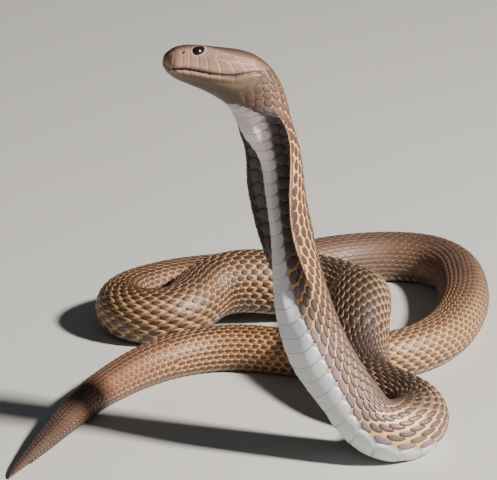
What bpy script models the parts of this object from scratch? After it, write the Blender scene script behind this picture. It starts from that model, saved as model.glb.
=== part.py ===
"""Philippine cobra at life size: forebody raised with the hood half spread, the rest coiled behind.

The animal is one tube lofted along a smooth centreline from snout to tail tip, parted by thin cuts
into head, hood, neck, lengths of body and tail, with an eye on each side of the head. Units are
metres, +Z is up, the belly lies on z = 0, and the camera side of the animal faces -Y.
"""
import math

import bmesh
import bpy
import numpy as np
from mathutils import Vector

MM = 0.001

# Driving dimensions, in millimetres until a mesh is made
CUT = 0.3                    # gap between neighbouring lengths, and round each eye
BELLY_FLAT = 0.86            # height of the centreline over the belly, as a share of the girth
SCUTE_PITCH = 5.4            # length of one broad belly plate
SCUTE_STEP = 0.55            # how far a belly plate's rear edge stands over the next
BODY_PITCH = 8.6             # distance between sections of the lying body
WING_THICKNESS = 4.6         # thickness of the hood beside the throat
EYE_RADIUS = 2.75
EYE_SINK = 1.75              # depth of the eye's centre under the side of the head
EYE_AT = 12.6                # distance of the eye behind the snout
EYE_ANGLE = 49.0             # degrees down from the midline of the crown
NOSTRIL_AT = 6.4             # distance of the nostril behind the snout
NOSTRIL_ANGLE = 57.0
NOSTRIL_RADIUS = 0.75
HEAD_END = 45.0
HOOD_END = 150.0
NECK_END = 196.0
FOOT = (186.0, 222.0)        # distances between which the neck comes to lie on the floor
OVERPASS_LIFT = 23.4         # rise of the belly where the body crosses over its own hind part
OVERPASS_AT = (19.6, 96.0)   # plan position of that crossing
OVERPASS_REACH = 33.0
OVERPASS_LEAN = (0.4, 8.0)   # rises between which its sections come to lean with it
OVERPASS_EASE = 40.0         # length ahead of the first lying station over which it may rise
OVERPASS_STATIONS = (5, 13)  # lying stations between which the upper pass runs
LEFT_LIFT = 6.2              # rise of the belly where the front length leans on the one behind it
LEFT_AT = 15                 # lying station at which it stands highest
LEFT_REACH = 29.0
HEAD_SQUARE = 0.80           # below 1 squares the head's flanks
CROWN_SQUARE = 0.88          # below 1 flattens its crown
LIP_GROOVE = 0.75            # depth of the line of the mouth
LIP_SWELL = 0.35             # swell of the lips beside it
BROW_SWELL = 0.9
BROW_AT = 15.0
CHEEK_SWELL = 0.9
CHEEK_AT = 33.0
BLEND_BACK = 12.0            # length over which the back of the head turns into the hood
SIDES_BODY = 24              # faces round the lying body
BACK_STEP = 10               # degrees between points round the back of the hood and neck
THROAT_STEP = 5              # degrees between points round the throat
THROAT_FROM = 150            # degrees from the midline of the back at which the throat starts
FINE_STEPS = 6000            # points of the centreline that lengths are measured on
PLAN_ORIGIN = (-25.4, 108.1) # middle of the animal's plan, in the route's own coordinates

# Raised forebody: x, y, z, dorsal direction, half width, height over and depth under the centreline,
# how far a wing's tip lies under the centreline, and the share of hood in the section
RAISED = (
    (-66.7, -4.6, 181.3, (0.00, 0.30, 1.0), 2.9, 2.3, 2.1, 0.0, 0.0),
    (-64.9, -4.3, 180.9, (0.00, 0.30, 1.0), 5.7, 4.6, 4.3, 0.0, 0.0),
    (-60.0, -3.5, 179.8, (0.00, 0.31, 1.0), 8.4, 7.8, 7.2, 0.0, 0.0),
    (-52.0, -2.3, 177.8, (0.02, 0.32, 1.0), 10.4, 9.4, 8.8, 0.0, 0.0),
    (-42.5, -1.0, 174.6, (0.25, 0.32, 1.0), 12.9, 11.4, 10.2, 0.0, 0.0),
    (-33.4, 0.6, 169.4, (0.60, 0.36, 0.8), 13.9, 13.5, 11.2, 0.0, 0.15),
    (-27.0, 2.0, 161.4, (0.80, 0.50, 0.4), 14.2, 11.4, 11.2, 1.0, 0.70),
    (-23.6, 3.0, 151.0, (0.75, 0.65, 0.1), 16.0, 8.8, 11.2, 1.9, 1.0),
    (-20.9, 3.6, 138.6, (0.82, 0.57, 0.0), 17.2, 10.4, 6.4, 2.4, 1.0),
    (-18.6, 3.8, 122.0, (0.86, 0.50, 0.0), 17.8, 11.2, 5.4, 4.4, 1.0),
    (-16.2, 3.6, 104.0, (0.87, 0.48, 0.0), 16.6, 12.6, 5.6, 4.6, 0.95),
    (-12.6, 3.0, 87.0, (0.84, 0.52, 0.1), 15.2, 12.6, 8.4, 4.0, 0.6),
    (-7.6, 2.0, 69.0, (0.78, 0.58, 0.2), 13.8, 12.8, 12.2, 2.0, 0.2),
    (-0.6, 0.5, 50.5, (0.66, 0.52, 0.5), 13.6, 13.2, 12.6, 0.0, 0.0),
    (10.0, -1.8, 31.5, (0.42, 0.26, 0.9), 13.8, 13.6, 12.2, 0.0, 0.0),
    (18.8, -3.4, 20.2, (0.26, 0.12, 1.0), 13.9, 13.8, 12.1, 0.0, 0.0),
    (28.8, -3.8, 13.3, (0.12, 0.04, 1.0), 13.9, 13.9, 12.0, 0.0, 0.0),
)

# Lying body in plan: x, y, half girth, from the foot of the raised neck to the tip of the tail
LYING = (
    (38.0, 1.2, 14.0), (43.0, 10.0, 14.0), (42.6, 21.8, 14.0), (35.8, 33.0, 14.0),
    (26.6, 42.0, 14.1), (20.6, 53.0, 14.2), (18.4, 68.0, 14.4), (19.2, 86.0, 14.7), (20.0, 106.0, 15.0),
    (20.6, 128.0, 15.2), (20.6, 148.0, 15.4), (16.4, 166.5, 15.6), (5.5, 176.3, 15.8),
    (-9.0, 177.4, 15.9), (-23.0, 174.0, 15.7), (-36.8, 171.5, 15.3), (-49.0, 165.5, 14.8),
    (-57.7, 153.0, 14.2), (-65.0, 145.5, 13.8), (-75.4, 143.7, 13.6), (-84.8, 148.3, 13.4),
    (-89.7, 157.5, 13.3), (-88.3, 168.0, 13.2), (-77.2, 182.0, 13.0), (-63.7, 191.9, 12.8),
    (-47.5, 198.6, 12.6), (-29.0, 203.0, 12.6), (-11.0, 212.0, 12.6), (8.0, 224.5, 12.6),
    (25.0, 231.0, 12.5), (43.0, 232.4, 12.5), (58.6, 226.4, 12.5), (68.4, 212.0, 12.4),
    (71.6, 193.0, 12.3), (71.4, 168.0, 12.1),
    (66.6, 142.0, 11.9), (56.4, 118.0, 11.7), (40.0, 101.4, 11.4), (20.0, 95.6, 11.2),
    (0.0, 98.4, 11.2), (-18.0, 104.4, 11.2), (-35.0, 108.6, 11.1), (-53.0, 105.8, 10.8),
    (-68.0, 97.2, 10.3), (-80.6, 84.8, 9.6), (-91.0, 70.6, 8.8), (-100.4, 54.6, 7.9),
    (-108.0, 37.6, 6.9), (-114.8, 20.6, 5.7), (-121.2, 4.2, 4.4), (-127.2, -10.6, 3.0),
    (-132.2, -23.0, 1.6), (-134.2, -28.4, 0.8),
)

# The line of the mouth: distance from the snout, and degrees down from the midline of the crown
MOUTH_LINE = ((0.0, 130.0), (2.5, 129.0), (5.0, 118.0), (8.0, 109.0), (12.0, 106.0), (16.0, 104.5),
              (20.0, 101.5), (24.0, 95.5), (28.0, 89.0), (32.0, 76.5), (36.0, 60.0))
MOUTH_REST = 95.0            # the angle that the mouth takes in the list of angles round the head

# Half width of the raised column of the throat inside the hood, at distances from the snout
THROAT = ((50.0, 8.0), (62.0, 7.2), (70.0, 5.6), (80.0, 4.2), (93.0, 3.4), (109.0, 3.6), (122.0, 5.0),
          (140.0, 6.6))

# Names of the lengths of the lying body, and the station of LYING at which each one ends
LENGTHS = (
    ("body_front_turn", 3), ("body_rise", 7), ("body_overpass", 10), ("body_inner_bend", 13),
    ("body_mid", 16), ("body_left_bend", 23), ("body_rear_left", 26), ("body_rear_right", 30),
    ("body_right_bend", 34), ("body_right_side", 37), ("body_underpass", 40), ("body_hind", 44),
    ("tail", 52),
)

COLOURS = {
    "scale_brown": ((0.150, 0.086, 0.055, 1.0), 0.42),
    "head_brown": ((0.235, 0.140, 0.085, 1.0), 0.36),
    "hood_brown": ((0.170, 0.100, 0.065, 1.0), 0.42),
    "eye_black": ((0.006, 0.005, 0.005, 1.0), 0.06),
}


def clear_scene():
    """Remove every object that the file opens with."""
    for item in list(bpy.data.objects):
        bpy.data.objects.remove(item, do_unlink=True)


def material(name):
    """Return the named Principled material."""
    found = bpy.data.materials.get(name)
    if found:
        return found
    colour, roughness = COLOURS[name]
    made = bpy.data.materials.new(name)
    made.use_nodes = True
    shader = made.node_tree.nodes["Principled BSDF"]
    shader.inputs["Base Color"].default_value = colour
    shader.inputs["Roughness"].default_value = roughness
    made.diffuse_color = colour
    return made


def natural_spline(knots, values):
    """Return a function that follows the natural cubic spline of values over knots."""
    count = len(knots)
    step = np.diff(knots)
    slope = np.diff(values, axis=0) / step[:, None]
    system = np.eye(count)
    right = np.zeros_like(values)
    for i in range(1, count - 1):
        system[i, i - 1:i + 2] = step[i - 1], 2.0 * (step[i - 1] + step[i]), step[i]
        right[i] = 6.0 * (slope[i] - slope[i - 1])
    bend = np.linalg.solve(system, right)

    def follow(where):
        where = np.clip(np.atleast_1d(where), knots[0], knots[-1])
        i = np.clip(np.searchsorted(knots, where) - 1, 0, count - 2)
        h = step[i][:, None]
        a = (knots[i + 1] - where)[:, None]
        b = (where - knots[i])[:, None]
        return ((bend[i] * a ** 3 + bend[i + 1] * b ** 3) / (6.0 * h)
                + (values[i] / h - bend[i] * h / 6.0) * a
                + (values[i + 1] / h - bend[i + 1] * h / 6.0) * b)

    return follow


def bell(value, middle, width):
    """Return 1 at the middle, falling evenly to nothing a couple of widths away."""
    return np.exp(-((value - middle) / width) ** 2)


def smooth(low, high, value):
    """Return 0 below low, 1 above high, and an even turn between."""
    t = np.clip((value - low) / (high - low), 0.0, 1.0)
    return t * t * (3.0 - 2.0 * t)


class Spine:
    """The animal's centreline, with its dorsal direction and section sizes at any distance."""

    def __init__(self):
        rows = []
        for x, y, z, dorsal, wide, up, down, tip, hood in RAISED:
            rows.append((x, y, z, *dorsal, wide, up, down, hood, 0.0, tip))
        for x, y, girth in LYING:
            depth = BELLY_FLAT * girth
            rows.append((x, y, depth, 0.0, 0.0, 1.0, girth, girth, depth, 0.0, 1.0, 0.0))
        table = np.array(rows)
        chords = np.linalg.norm(np.diff(table[:, :3], axis=0), axis=1)
        knots = np.concatenate([[0.0], np.cumsum(chords)])
        follow = natural_spline(knots, table)
        fine = np.linspace(0.0, knots[-1], FINE_STEPS)
        self.table = follow(fine)
        reach = np.linalg.norm(self.table[:, :2] - np.array(OVERPASS_AT), axis=1)
        self.along = self.lengths(self.table[:, :3])
        # The front pass of the body is the one that climbs over the hind pass
        ends = [knots[len(RAISED) + station] for station in OVERPASS_STATIONS]
        first, last = np.interp(ends, fine, self.along)
        front = (self.along > first) & (self.along < last)
        top = self.along[front][np.argmin(reach[front])]
        lift = OVERPASS_LIFT * np.exp(-((self.along - top) / OVERPASS_REACH) ** 2)
        lift[(self.along < first - OVERPASS_EASE) | (self.along > last)] = 0.0
        left = np.interp(knots[len(RAISED) + LEFT_AT], fine, self.along)
        lift += LEFT_LIFT * bell(self.along, left, LEFT_REACH)
        lying = smooth(0.6, 1.0, self.table[:, 10])
        floor = self.table[:, 8] + lift * (lift > 0.02)
        self.table[:, 2] = (1.0 - lying) * self.table[:, 2] + lying * floor
        self.table = np.column_stack([self.table, lift])
        self.along = self.lengths(self.table[:, :3])
        self.total = self.along[-1]
        self.table[:, :2] -= np.array(PLAN_ORIGIN)
        self.stations = np.interp(knots, fine, self.along)

    @staticmethod
    def lengths(points):
        """Return the running length along a row of points."""
        return np.concatenate([[0.0], np.cumsum(np.linalg.norm(np.diff(points, axis=0), axis=1))])

    def at(self, distance):
        """Return the row of values at a distance from the snout."""
        return np.array([np.interp(distance, self.along, column) for column in self.table.T])

    def frame(self, distance):
        """Return centre, side and dorsal directions at a distance from the snout."""
        row = self.at(distance)
        near = self.at(max(distance - 0.6, 0.0))[:3]
        far = self.at(min(distance + 0.6, self.total))[:3]
        tangent = (far - near) / np.linalg.norm(far - near)
        dorsal = row[3:6] / np.linalg.norm(row[3:6])
        lean = float(dorsal @ tangent)
        # A length that lies on the floor keeps upright sections, so that its belly stays flat
        square = 1.0 - float(smooth(*FOOT, distance))
        if distance > FOOT[1]:
            square = float(smooth(*OVERPASS_LEAN, row[12]))
        dorsal = dorsal - square * lean * tangent
        dorsal /= np.linalg.norm(dorsal)
        side = np.cross(tangent, dorsal)
        side /= np.linalg.norm(side)
        return row, side, dorsal


def scute_rise(distance):
    """Return how far a belly plate stands proud at a distance: 0 at its front edge, full at its rear."""
    return SCUTE_STEP * ((distance / SCUTE_PITCH) % 1.0)


def section(row, theta, distance):
    """Return the side and dorsal offsets of the skin at angles theta from the midline of the back."""
    wide, up, down, hood = row[6], row[7], row[8], row[9]
    s, c = np.sin(theta), np.cos(theta)
    full = np.where(c > 0.0, up, down / BELLY_FLAT)
    round_side = wide * s
    round_dorsal = np.maximum(full * c, -down)
    hood_side = wide * np.sign(s) * np.abs(s) ** 0.9
    across = hood_side / wide
    arch = up * np.abs(c) ** 0.8 - row[11] * across ** 2
    inner = arch - WING_THICKNESS * np.abs(c) ** 0.5
    column = np.interp(distance, *zip(*THROAT))
    throat = smooth(0.6 * column, 1.35 * column, np.abs(hood_side))
    under = (1.0 - throat) * -down * (1.0 - 0.2 * (hood_side / column) ** 2) + throat * inner
    hood_dorsal = np.where(c > 0.0, arch, np.minimum(under, inner))
    side = (1.0 - hood) * round_side + hood * hood_side
    dorsal = (1.0 - hood) * round_dorsal + hood * hood_dorsal
    raised = 1.0 - float(smooth(0.3, 0.7, row[10]))
    plate = smooth(0.50, 0.80, -c) * scute_rise(distance) * raised * smooth(30.0, 60.0, distance)
    return side, dorsal - plate


def head_section(row, theta, distance):
    """Return the offsets of the head's skin, with lips, mouth line, brows and cheeks."""
    wide, up, down = row[6], row[7], row[8]
    line = mouth_angle(distance)
    # The middle of the list of angles is moved on to the line of the mouth
    half = np.abs(theta)
    rest = math.radians(MOUTH_REST)
    under = line + (half - rest) * (math.pi - line) / (math.pi - rest)
    half = np.where(half < rest, half * line / rest, under)
    s, c = np.sin(half), np.cos(half)
    side = wide * s ** HEAD_SQUARE
    dorsal = np.where(c > 0.0, up, down) * np.sign(c) * np.abs(c) ** CROWN_SQUARE
    mouth = smooth(1.5, 5.0, distance) * (1.0 - smooth(35.0, 39.0, distance))
    off = (half - line) * max(wide, up)
    groove = LIP_SWELL * bell(np.abs(off), 1.9, 1.1) - LIP_GROOVE * bell(off, 0.0, 0.55)
    brow = BROW_SWELL * bell(half, 0.62, 0.16) * bell(distance, BROW_AT, 5.0)
    cheek = CHEEK_SWELL * bell(half, 1.25, 0.35) * bell(distance, CHEEK_AT, 7.0)
    swell = mouth * groove + brow + cheek
    return np.sign(theta) * (side + swell * s), dorsal + swell * c


def joined_section(row, theta, distance):
    """Return the hood's section, which starts as the back of the head."""
    share = float(smooth(HEAD_END, HEAD_END + BLEND_BACK, distance))
    neck = section(row, theta, distance)
    if share >= 1.0:
        return neck
    wide, up, down = row[6], row[7], row[8]
    s, c = np.abs(np.sin(theta)), np.cos(theta)
    side = np.sign(np.sin(theta)) * wide * s ** HEAD_SQUARE
    dorsal = np.where(c > 0.0, up, down) * np.sign(c) * np.abs(c) ** CROWN_SQUARE
    return (1.0 - share) * side + share * neck[0], (1.0 - share) * dorsal + share * neck[1]


def mouth_angle(distance):
    """Return the angle of the line of the mouth, which climbs from the chin side to the cheek."""
    return math.radians(np.interp(distance, *zip(*MOUTH_LINE)))


def head_angles():
    """Return the angles round the head, set close along the mouth."""
    flank = [0, 13, 26, 38, 50, 62, 73, 82, 89, 92.5, MOUTH_REST, 97.5, 101, 108, 119, 132, 148, 164]
    angles = [math.radians(a) for a in flank] + [math.pi]
    return np.array(angles + [-a for a in reversed(angles[1:-1])])


def loft(name, spine, distances, angles, shape, finish):
    """Make one closed body from sections at the given distances, capped flat at both ends."""
    mesh = bpy.data.meshes.new(name)
    builder = bmesh.new()
    rings = []
    for distance in distances:
        row, side, dorsal = spine.frame(distance)
        across, over = shape(row, angles, distance)
        points = row[:3] + across[:, None] * side + over[:, None] * dorsal
        ring = [builder.verts.new(Vector(point * MM)) for point in points]
        rings.append(ring)
    count = len(angles)
    for near, far in zip(rings, rings[1:]):
        for i in range(count):
            j = (i + 1) % count
            builder.faces.new((near[i], near[j], far[j], far[i]))
    for ring, distance in ((rings[0], distances[0]), (rings[-1], distances[-1])):
        hub = builder.verts.new(Vector(spine.at(distance)[:3] * MM))
        for i in range(count):
            builder.faces.new((ring[i], ring[(i + 1) % count], hub))
    bmesh.ops.recalc_face_normals(builder, faces=builder.faces)
    bmesh.ops.triangulate(builder, faces=builder.faces)
    builder.to_mesh(mesh)
    builder.free()
    mesh.shade_smooth()
    made = bpy.data.objects.new(name, mesh)
    bpy.context.collection.objects.link(made)
    made.data.materials.append(material(finish))
    return made


def ball(name, centre, radius, rings, segments):
    """Make a closed sphere at a place given in millimetres."""
    mesh = bpy.data.meshes.new(name)
    builder = bmesh.new()
    bmesh.ops.create_uvsphere(builder, u_segments=segments, v_segments=rings, radius=radius * MM)
    bmesh.ops.translate(builder, verts=builder.verts, vec=Vector(centre * MM))
    builder.to_mesh(mesh)
    builder.free()
    mesh.shade_smooth()
    made = bpy.data.objects.new(name, mesh)
    bpy.context.collection.objects.link(made)
    return made


def cut(target, cutter):
    """Cut the cutter's shape out of the target."""
    cutter.hide_render = True
    cutter.display_type = "WIRE"
    modifier = target.modifiers.new("cut_" + cutter.name, "BOOLEAN")
    modifier.operation = "DIFFERENCE"
    modifier.object = cutter


def even(start, end, pitch):
    """Return distances from start to end, evenly spaced at about the pitch."""
    return list(np.linspace(start, end, max(2, round((end - start) / pitch)) + 1))


def plated(start, end):
    """Return distances from start to end with a pair of sections at each belly plate's edge."""
    sharp = 0.5
    found = {start, end}
    for k in range(math.ceil(start / SCUTE_PITCH), math.floor(end / SCUTE_PITCH) + 1):
        for edge in (k * SCUTE_PITCH - sharp, k * SCUTE_PITCH + sharp):
            if start + 0.8 < edge < end - 0.8:
                found.add(edge)
    return sorted(found)


def head_place(spine, distance, degrees, flank, sink):
    """Return a point under the head's skin at an angle from the crown, on flank 1 or -1."""
    row, side, dorsal = spine.frame(distance)
    across, over = head_section(row, np.array([math.radians(degrees)]), distance)
    across, over = across[0], over[0]
    reach = math.hypot(across, over)
    share = (reach - sink) / reach
    return row[:3] + flank * across * share * side + over * share * dorsal


def make_head(spine):
    """Make the head with its eyes set in sockets, and its nostrils."""
    stations = [0.4, 1.4, 2.8, 4.4, 6.2, 8.2, 10.2, 12.0, 13.8, 15.8, 18.0, 20.6, 23.4, 26.4, 29.4, 32.4,
                35.2, 38.0, 41.4, HEAD_END - CUT / 2]
    head = loft("head", spine, stations, head_angles(), head_section, "head_brown")
    for flank, label in ((1.0, "left"), (-1.0, "right")):
        centre = head_place(spine, EYE_AT, EYE_ANGLE, flank, EYE_SINK)
        eye = ball("eye_" + label, centre, EYE_RADIUS, 12, 20)
        eye.data.materials.append(material("eye_black"))
        cut(head, ball("socket_" + label, centre, EYE_RADIUS + CUT, 12, 20))
        nose = head_place(spine, NOSTRIL_AT, NOSTRIL_ANGLE, flank, 0.0)
        cut(head, ball("nostril_" + label, nose, NOSTRIL_RADIUS, 6, 10))


def make_body(spine):
    """Make the hood, the neck and the lengths of the lying body down to the tail."""
    half = [*range(0, THROAT_FROM, BACK_STEP), *range(THROAT_FROM, 181, THROAT_STEP)]
    neck_angles = np.radians(half + [-degrees for degrees in reversed(half[1:-1])])
    body_angles = np.linspace(0.0, 2.0 * math.pi, SIDES_BODY, endpoint=False)
    gap = CUT / 2
    loft("hood", spine, plated(HEAD_END + gap, HOOD_END - gap), neck_angles, joined_section, "hood_brown")
    loft("neck", spine, plated(HOOD_END + gap, NECK_END - gap), neck_angles, section, "scale_brown")
    start = NECK_END
    for name, station in LENGTHS:
        end = spine.stations[len(RAISED) + station]
        last = end if name == "tail" else end - gap
        pitch = BODY_PITCH if name != "tail" else BODY_PITCH * 1.2
        loft(name, spine, even(start + gap, last, pitch), body_angles, section, "scale_brown")
        start = end


def main():
    """Build the animal."""
    clear_scene()
    spine = Spine()
    make_head(spine)
    make_body(spine)


main()
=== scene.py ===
"""Looks of a life-size Philippine cobra: forebody raised, hood half spread, the rest coiled behind.

One skin lies just inside the solids, and scales, belly plates and eyes are set on it. Lengths are in
millimetres until a mesh is made. Any place on the skin is a distance from the snout and a share round
the section, from 0 on the midline of the back to 1 or -1 on the midline of the belly.
"""

import logging
import math
from collections.abc import Callable
from dataclasses import dataclass, field
from enum import Enum, IntEnum

import bpy
import numpy as np
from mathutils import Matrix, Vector

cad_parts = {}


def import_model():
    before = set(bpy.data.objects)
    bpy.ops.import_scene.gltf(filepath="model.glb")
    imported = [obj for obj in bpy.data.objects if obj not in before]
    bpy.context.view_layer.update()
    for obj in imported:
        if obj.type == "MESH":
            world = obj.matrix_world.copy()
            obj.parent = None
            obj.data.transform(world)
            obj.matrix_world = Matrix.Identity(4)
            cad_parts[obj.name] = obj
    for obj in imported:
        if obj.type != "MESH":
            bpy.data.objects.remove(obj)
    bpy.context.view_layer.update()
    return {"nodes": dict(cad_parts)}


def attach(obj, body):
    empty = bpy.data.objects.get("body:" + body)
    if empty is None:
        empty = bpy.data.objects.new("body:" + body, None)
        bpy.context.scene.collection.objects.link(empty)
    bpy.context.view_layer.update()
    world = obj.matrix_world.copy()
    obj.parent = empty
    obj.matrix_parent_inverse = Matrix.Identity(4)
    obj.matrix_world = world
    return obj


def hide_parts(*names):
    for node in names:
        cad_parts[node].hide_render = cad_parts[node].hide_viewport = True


LOG = logging.getLogger("cobra")
MM = 0.001

Display = tuple[int, int, int]           # a colour as a screen shows it, each part from 0 to 255
Span = tuple[float, float]               # two values between which something changes
Ridge = tuple[float, float, float]       # height, middle and width of a ridge; below 0 it is a cut
Table = tuple[tuple[float, float], ...]  # places, each with its value

# Raised forebody: x, y, z, dorsal direction, half width, height over and depth under the centreline,
# how far a wing's tip lies under the centreline, and the share of hood in the section
RAISED = (
    (-66.7, -4.6, 181.3, (0.00, 0.30, 1.0), 2.9, 2.3, 2.1, 0.0, 0.0),
    (-64.9, -4.3, 180.9, (0.00, 0.30, 1.0), 5.7, 4.6, 4.3, 0.0, 0.0),
    (-60.0, -3.5, 179.8, (0.00, 0.31, 1.0), 8.4, 7.8, 7.2, 0.0, 0.0),
    (-52.0, -2.3, 177.8, (0.02, 0.32, 1.0), 10.4, 9.4, 8.8, 0.0, 0.0),
    (-42.5, -1.0, 174.6, (0.25, 0.32, 1.0), 12.9, 11.4, 10.2, 0.0, 0.0),
    (-33.4, 0.6, 169.4, (0.60, 0.36, 0.8), 13.9, 13.5, 11.2, 0.0, 0.15),
    (-27.0, 2.0, 161.4, (0.80, 0.50, 0.4), 14.2, 11.4, 11.2, 1.0, 0.70),
    (-23.6, 3.0, 151.0, (0.75, 0.65, 0.1), 16.0, 8.8, 11.2, 1.9, 1.0),
    (-20.9, 3.6, 138.6, (0.82, 0.57, 0.0), 17.2, 10.4, 6.4, 2.4, 1.0),
    (-18.6, 3.8, 122.0, (0.86, 0.50, 0.0), 17.8, 11.2, 5.4, 4.4, 1.0),
    (-16.2, 3.6, 104.0, (0.87, 0.48, 0.0), 16.6, 12.6, 5.6, 4.6, 0.95),
    (-12.6, 3.0, 87.0, (0.84, 0.52, 0.1), 15.2, 12.6, 8.4, 4.0, 0.6),
    (-7.6, 2.0, 69.0, (0.78, 0.58, 0.2), 13.8, 12.8, 12.2, 2.0, 0.2),
    (-0.6, 0.5, 50.5, (0.66, 0.52, 0.5), 13.6, 13.2, 12.6, 0.0, 0.0),
    (10.0, -1.8, 31.5, (0.42, 0.26, 0.9), 13.8, 13.6, 12.2, 0.0, 0.0),
    (18.8, -3.4, 20.2, (0.26, 0.12, 1.0), 13.9, 13.8, 12.1, 0.0, 0.0),
    (28.8, -3.8, 13.3, (0.12, 0.04, 1.0), 13.9, 13.9, 12.0, 0.0, 0.0),
)

# Lying body in plan: x, y, half girth, from the foot of the raised neck to the tip of the tail
LYING = (
    (38.0, 1.2, 14.0), (43.0, 10.0, 14.0), (42.6, 21.8, 14.0), (35.8, 33.0, 14.0),
    (26.6, 42.0, 14.1), (20.6, 53.0, 14.2), (18.4, 68.0, 14.4), (19.2, 86.0, 14.7), (20.0, 106.0, 15.0),
    (20.6, 128.0, 15.2), (20.6, 148.0, 15.4), (16.4, 166.5, 15.6), (5.5, 176.3, 15.8),
    (-9.0, 177.4, 15.9), (-23.0, 174.0, 15.7), (-36.8, 171.5, 15.3), (-49.0, 165.5, 14.8),
    (-57.7, 153.0, 14.2), (-65.0, 145.5, 13.8), (-75.4, 143.7, 13.6), (-84.8, 148.3, 13.4),
    (-89.7, 157.5, 13.3), (-88.3, 168.0, 13.2), (-77.2, 182.0, 13.0), (-63.7, 191.9, 12.8),
    (-47.5, 198.6, 12.6), (-29.0, 203.0, 12.6), (-11.0, 212.0, 12.6), (8.0, 224.5, 12.6),
    (25.0, 231.0, 12.5), (43.0, 232.4, 12.5), (58.6, 226.4, 12.5), (68.4, 212.0, 12.4),
    (71.6, 193.0, 12.3), (71.4, 168.0, 12.1),
    (66.6, 142.0, 11.9), (56.4, 118.0, 11.7), (40.0, 101.4, 11.4), (20.0, 95.6, 11.2),
    (0.0, 98.4, 11.2), (-18.0, 104.4, 11.2), (-35.0, 108.6, 11.1), (-53.0, 105.8, 10.8),
    (-68.0, 97.2, 10.3), (-80.6, 84.8, 9.6), (-91.0, 70.6, 8.8), (-100.4, 54.6, 7.9),
    (-108.0, 37.6, 6.9), (-114.8, 20.6, 5.7), (-121.2, 4.2, 4.4), (-127.2, -10.6, 3.0),
    (-132.2, -23.0, 1.6), (-134.2, -28.4, 0.8),
)

# The line of the mouth: distance from the snout, and degrees down from the midline of the crown
MOUTH_LINE = ((0.0, 130.0), (2.5, 129.0), (5.0, 118.0), (8.0, 109.0), (12.0, 106.0), (16.0, 104.5),
              (20.0, 101.5), (24.0, 95.5), (28.0, 89.0), (32.0, 76.5), (36.0, 60.0))

# Half width of the raised column of the throat inside the hood, at distances from the snout
THROAT = ((50.0, 8.0), (62.0, 7.2), (70.0, 5.6), (80.0, 4.2), (93.0, 3.4), (109.0, 3.6), (122.0, 5.0),
          (140.0, 6.6))

# Sizes shared with the solids
BELLY_FLAT = 0.86            # height of the centreline over the belly, as a share of the girth
WING_THICKNESS = 4.6         # thickness of the hood beside the throat
WING_TAPER = 0.5             # below 1 keeps that thickness further out towards the wing's edge
HOOD_SQUARE = 0.9            # below 1 squares the wings of the hood
ARCH_SQUARE = 0.8            # below 1 flattens the arch of its back
THROAT_SIDE = (0.6, 1.35)    # shares of the throat's half width between which it turns into the wings
THROAT_ROUND = 0.2           # how far the face of the throat is rounded
OVERPASS_LIFT = 23.4         # rise of the belly where the body crosses over its own hind part
OVERPASS_AT = (19.6, 96.0)   # plan position of that crossing
OVERPASS_REACH = 33.0
OVERPASS_LEAN = (0.4, 8.0)   # rises between which its sections come to lean with it
OVERPASS_EASE = 40.0         # length ahead of the first lying station over which it may rise
OVERPASS_STATIONS = (5, 13)  # lying stations between which the upper pass runs
LEFT_LIFT = 6.2              # rise of the belly where the front length leans on the one behind it
LEFT_AT = 15                 # lying station at which it stands highest
LEFT_REACH = 29.0
LEAST_LIFT = 0.02            # a smaller rise counts as none
FOOT = (186.0, 222.0)        # distances between which the neck comes to lie on the floor
LYING_SHARE = (0.6, 1.0)     # shares of lying body between which the height comes to follow the floor
PLAN_ORIGIN = (-25.4, 108.1)  # middle of the animal's plan, in the route's own coordinates
HEAD_END = 45.0
BLEND_BACK = 12.0            # length over which the back of the head turns into the hood
HEAD_SQUARE = 0.80           # below 1 squares the head's flanks
CROWN_SQUARE = 0.88          # below 1 flattens its crown
FEATURES_END = HEAD_END + 6.0
LIPS_FRONT = (1.5, 5.0)      # distances over which the swell and groove of the lips come in
LIPS_REAR = (35.0, 39.0)     # distances over which they fade out
LIP_SWELL = (0.35, 1.9, 1.1)
LIP_GROOVE = (-0.75, 0.0, 0.55)
EYE_RADIUS = 2.75
EYE_SINK = 1.75              # depth of the eye's centre under the side of the head
EYE_AT = (12.6, 49.0)        # distance from the snout, and degrees down from the midline of the crown
NOSTRIL_AT = (6.4, 57.0)
FINE_STEPS = 6000            # points of the centreline that lengths are measured on
TANGENT_HALF = 0.6           # distance each way over which the centreline's direction is measured

# Brow and cheek: height, then middle and width round the section in radians, then along the head
HEAD_SWELLS = ((0.9, (0.62, 0.16), (15.0, 5.0)), (0.9, (1.25, 0.35), (33.0, 7.0)))

# Sizes of the dressed model
SKIN_DEPTH = 0.50            # how far the skin lies inside the solids where scales cover it
HEAD_DEPTH = 0.25            # the same on the head, whose shields are part of the skin
DEPTH_TURNS = (33.0, 42.0)   # distances over which one depth turns into the other
TINT_TURNS = (36.0, 42.0)    # distances over which the head's colours turn into the body's
SCALES_FROM = 27.0           # distance at which the scales under the jaw begin
PLATES_FROM = 33.5           # distance at which the belly plates begin
PLATES_TO = 1091.0           # distance at which they end
PLATE_MOST = 0.42            # largest half width of a belly plate, as a share of the girth
VENT_AT = 944.0              # distance of the vent, where the plates under the tail become paired
WING_EDGE = 0.35             # how far round the section the thin edge of a wing reaches, in radians
WING_THIN = 0.6              # share of their depth that the skin and the scales' bases give up there
NORMAL_STEP = 0.012          # radians over which the section's slope is measured
BAKE_PATCH = 0.003           # width of one scale on the bake map
BAKE_STOPS = ((0.0, 0.01), (HEAD_END, 0.30), (230.0, 0.58))  # distances, and their places along that map
HEAD_STEP = 0.30             # distance between the skin's rings on the head
HOOD_STEP = 1.1              # the same on the hood
BODY_STEP = 1.9              # the same on the body behind it
HOOD_TO = 152.0              # distance at which the skin's rings take half as many points
FIRST_RING = 0.45            # distance of the first ring, and of the last from the tip of the tail
LAST_RING = 0.8
HEAD_RINGS_TO = HEAD_END + 2.0

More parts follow.
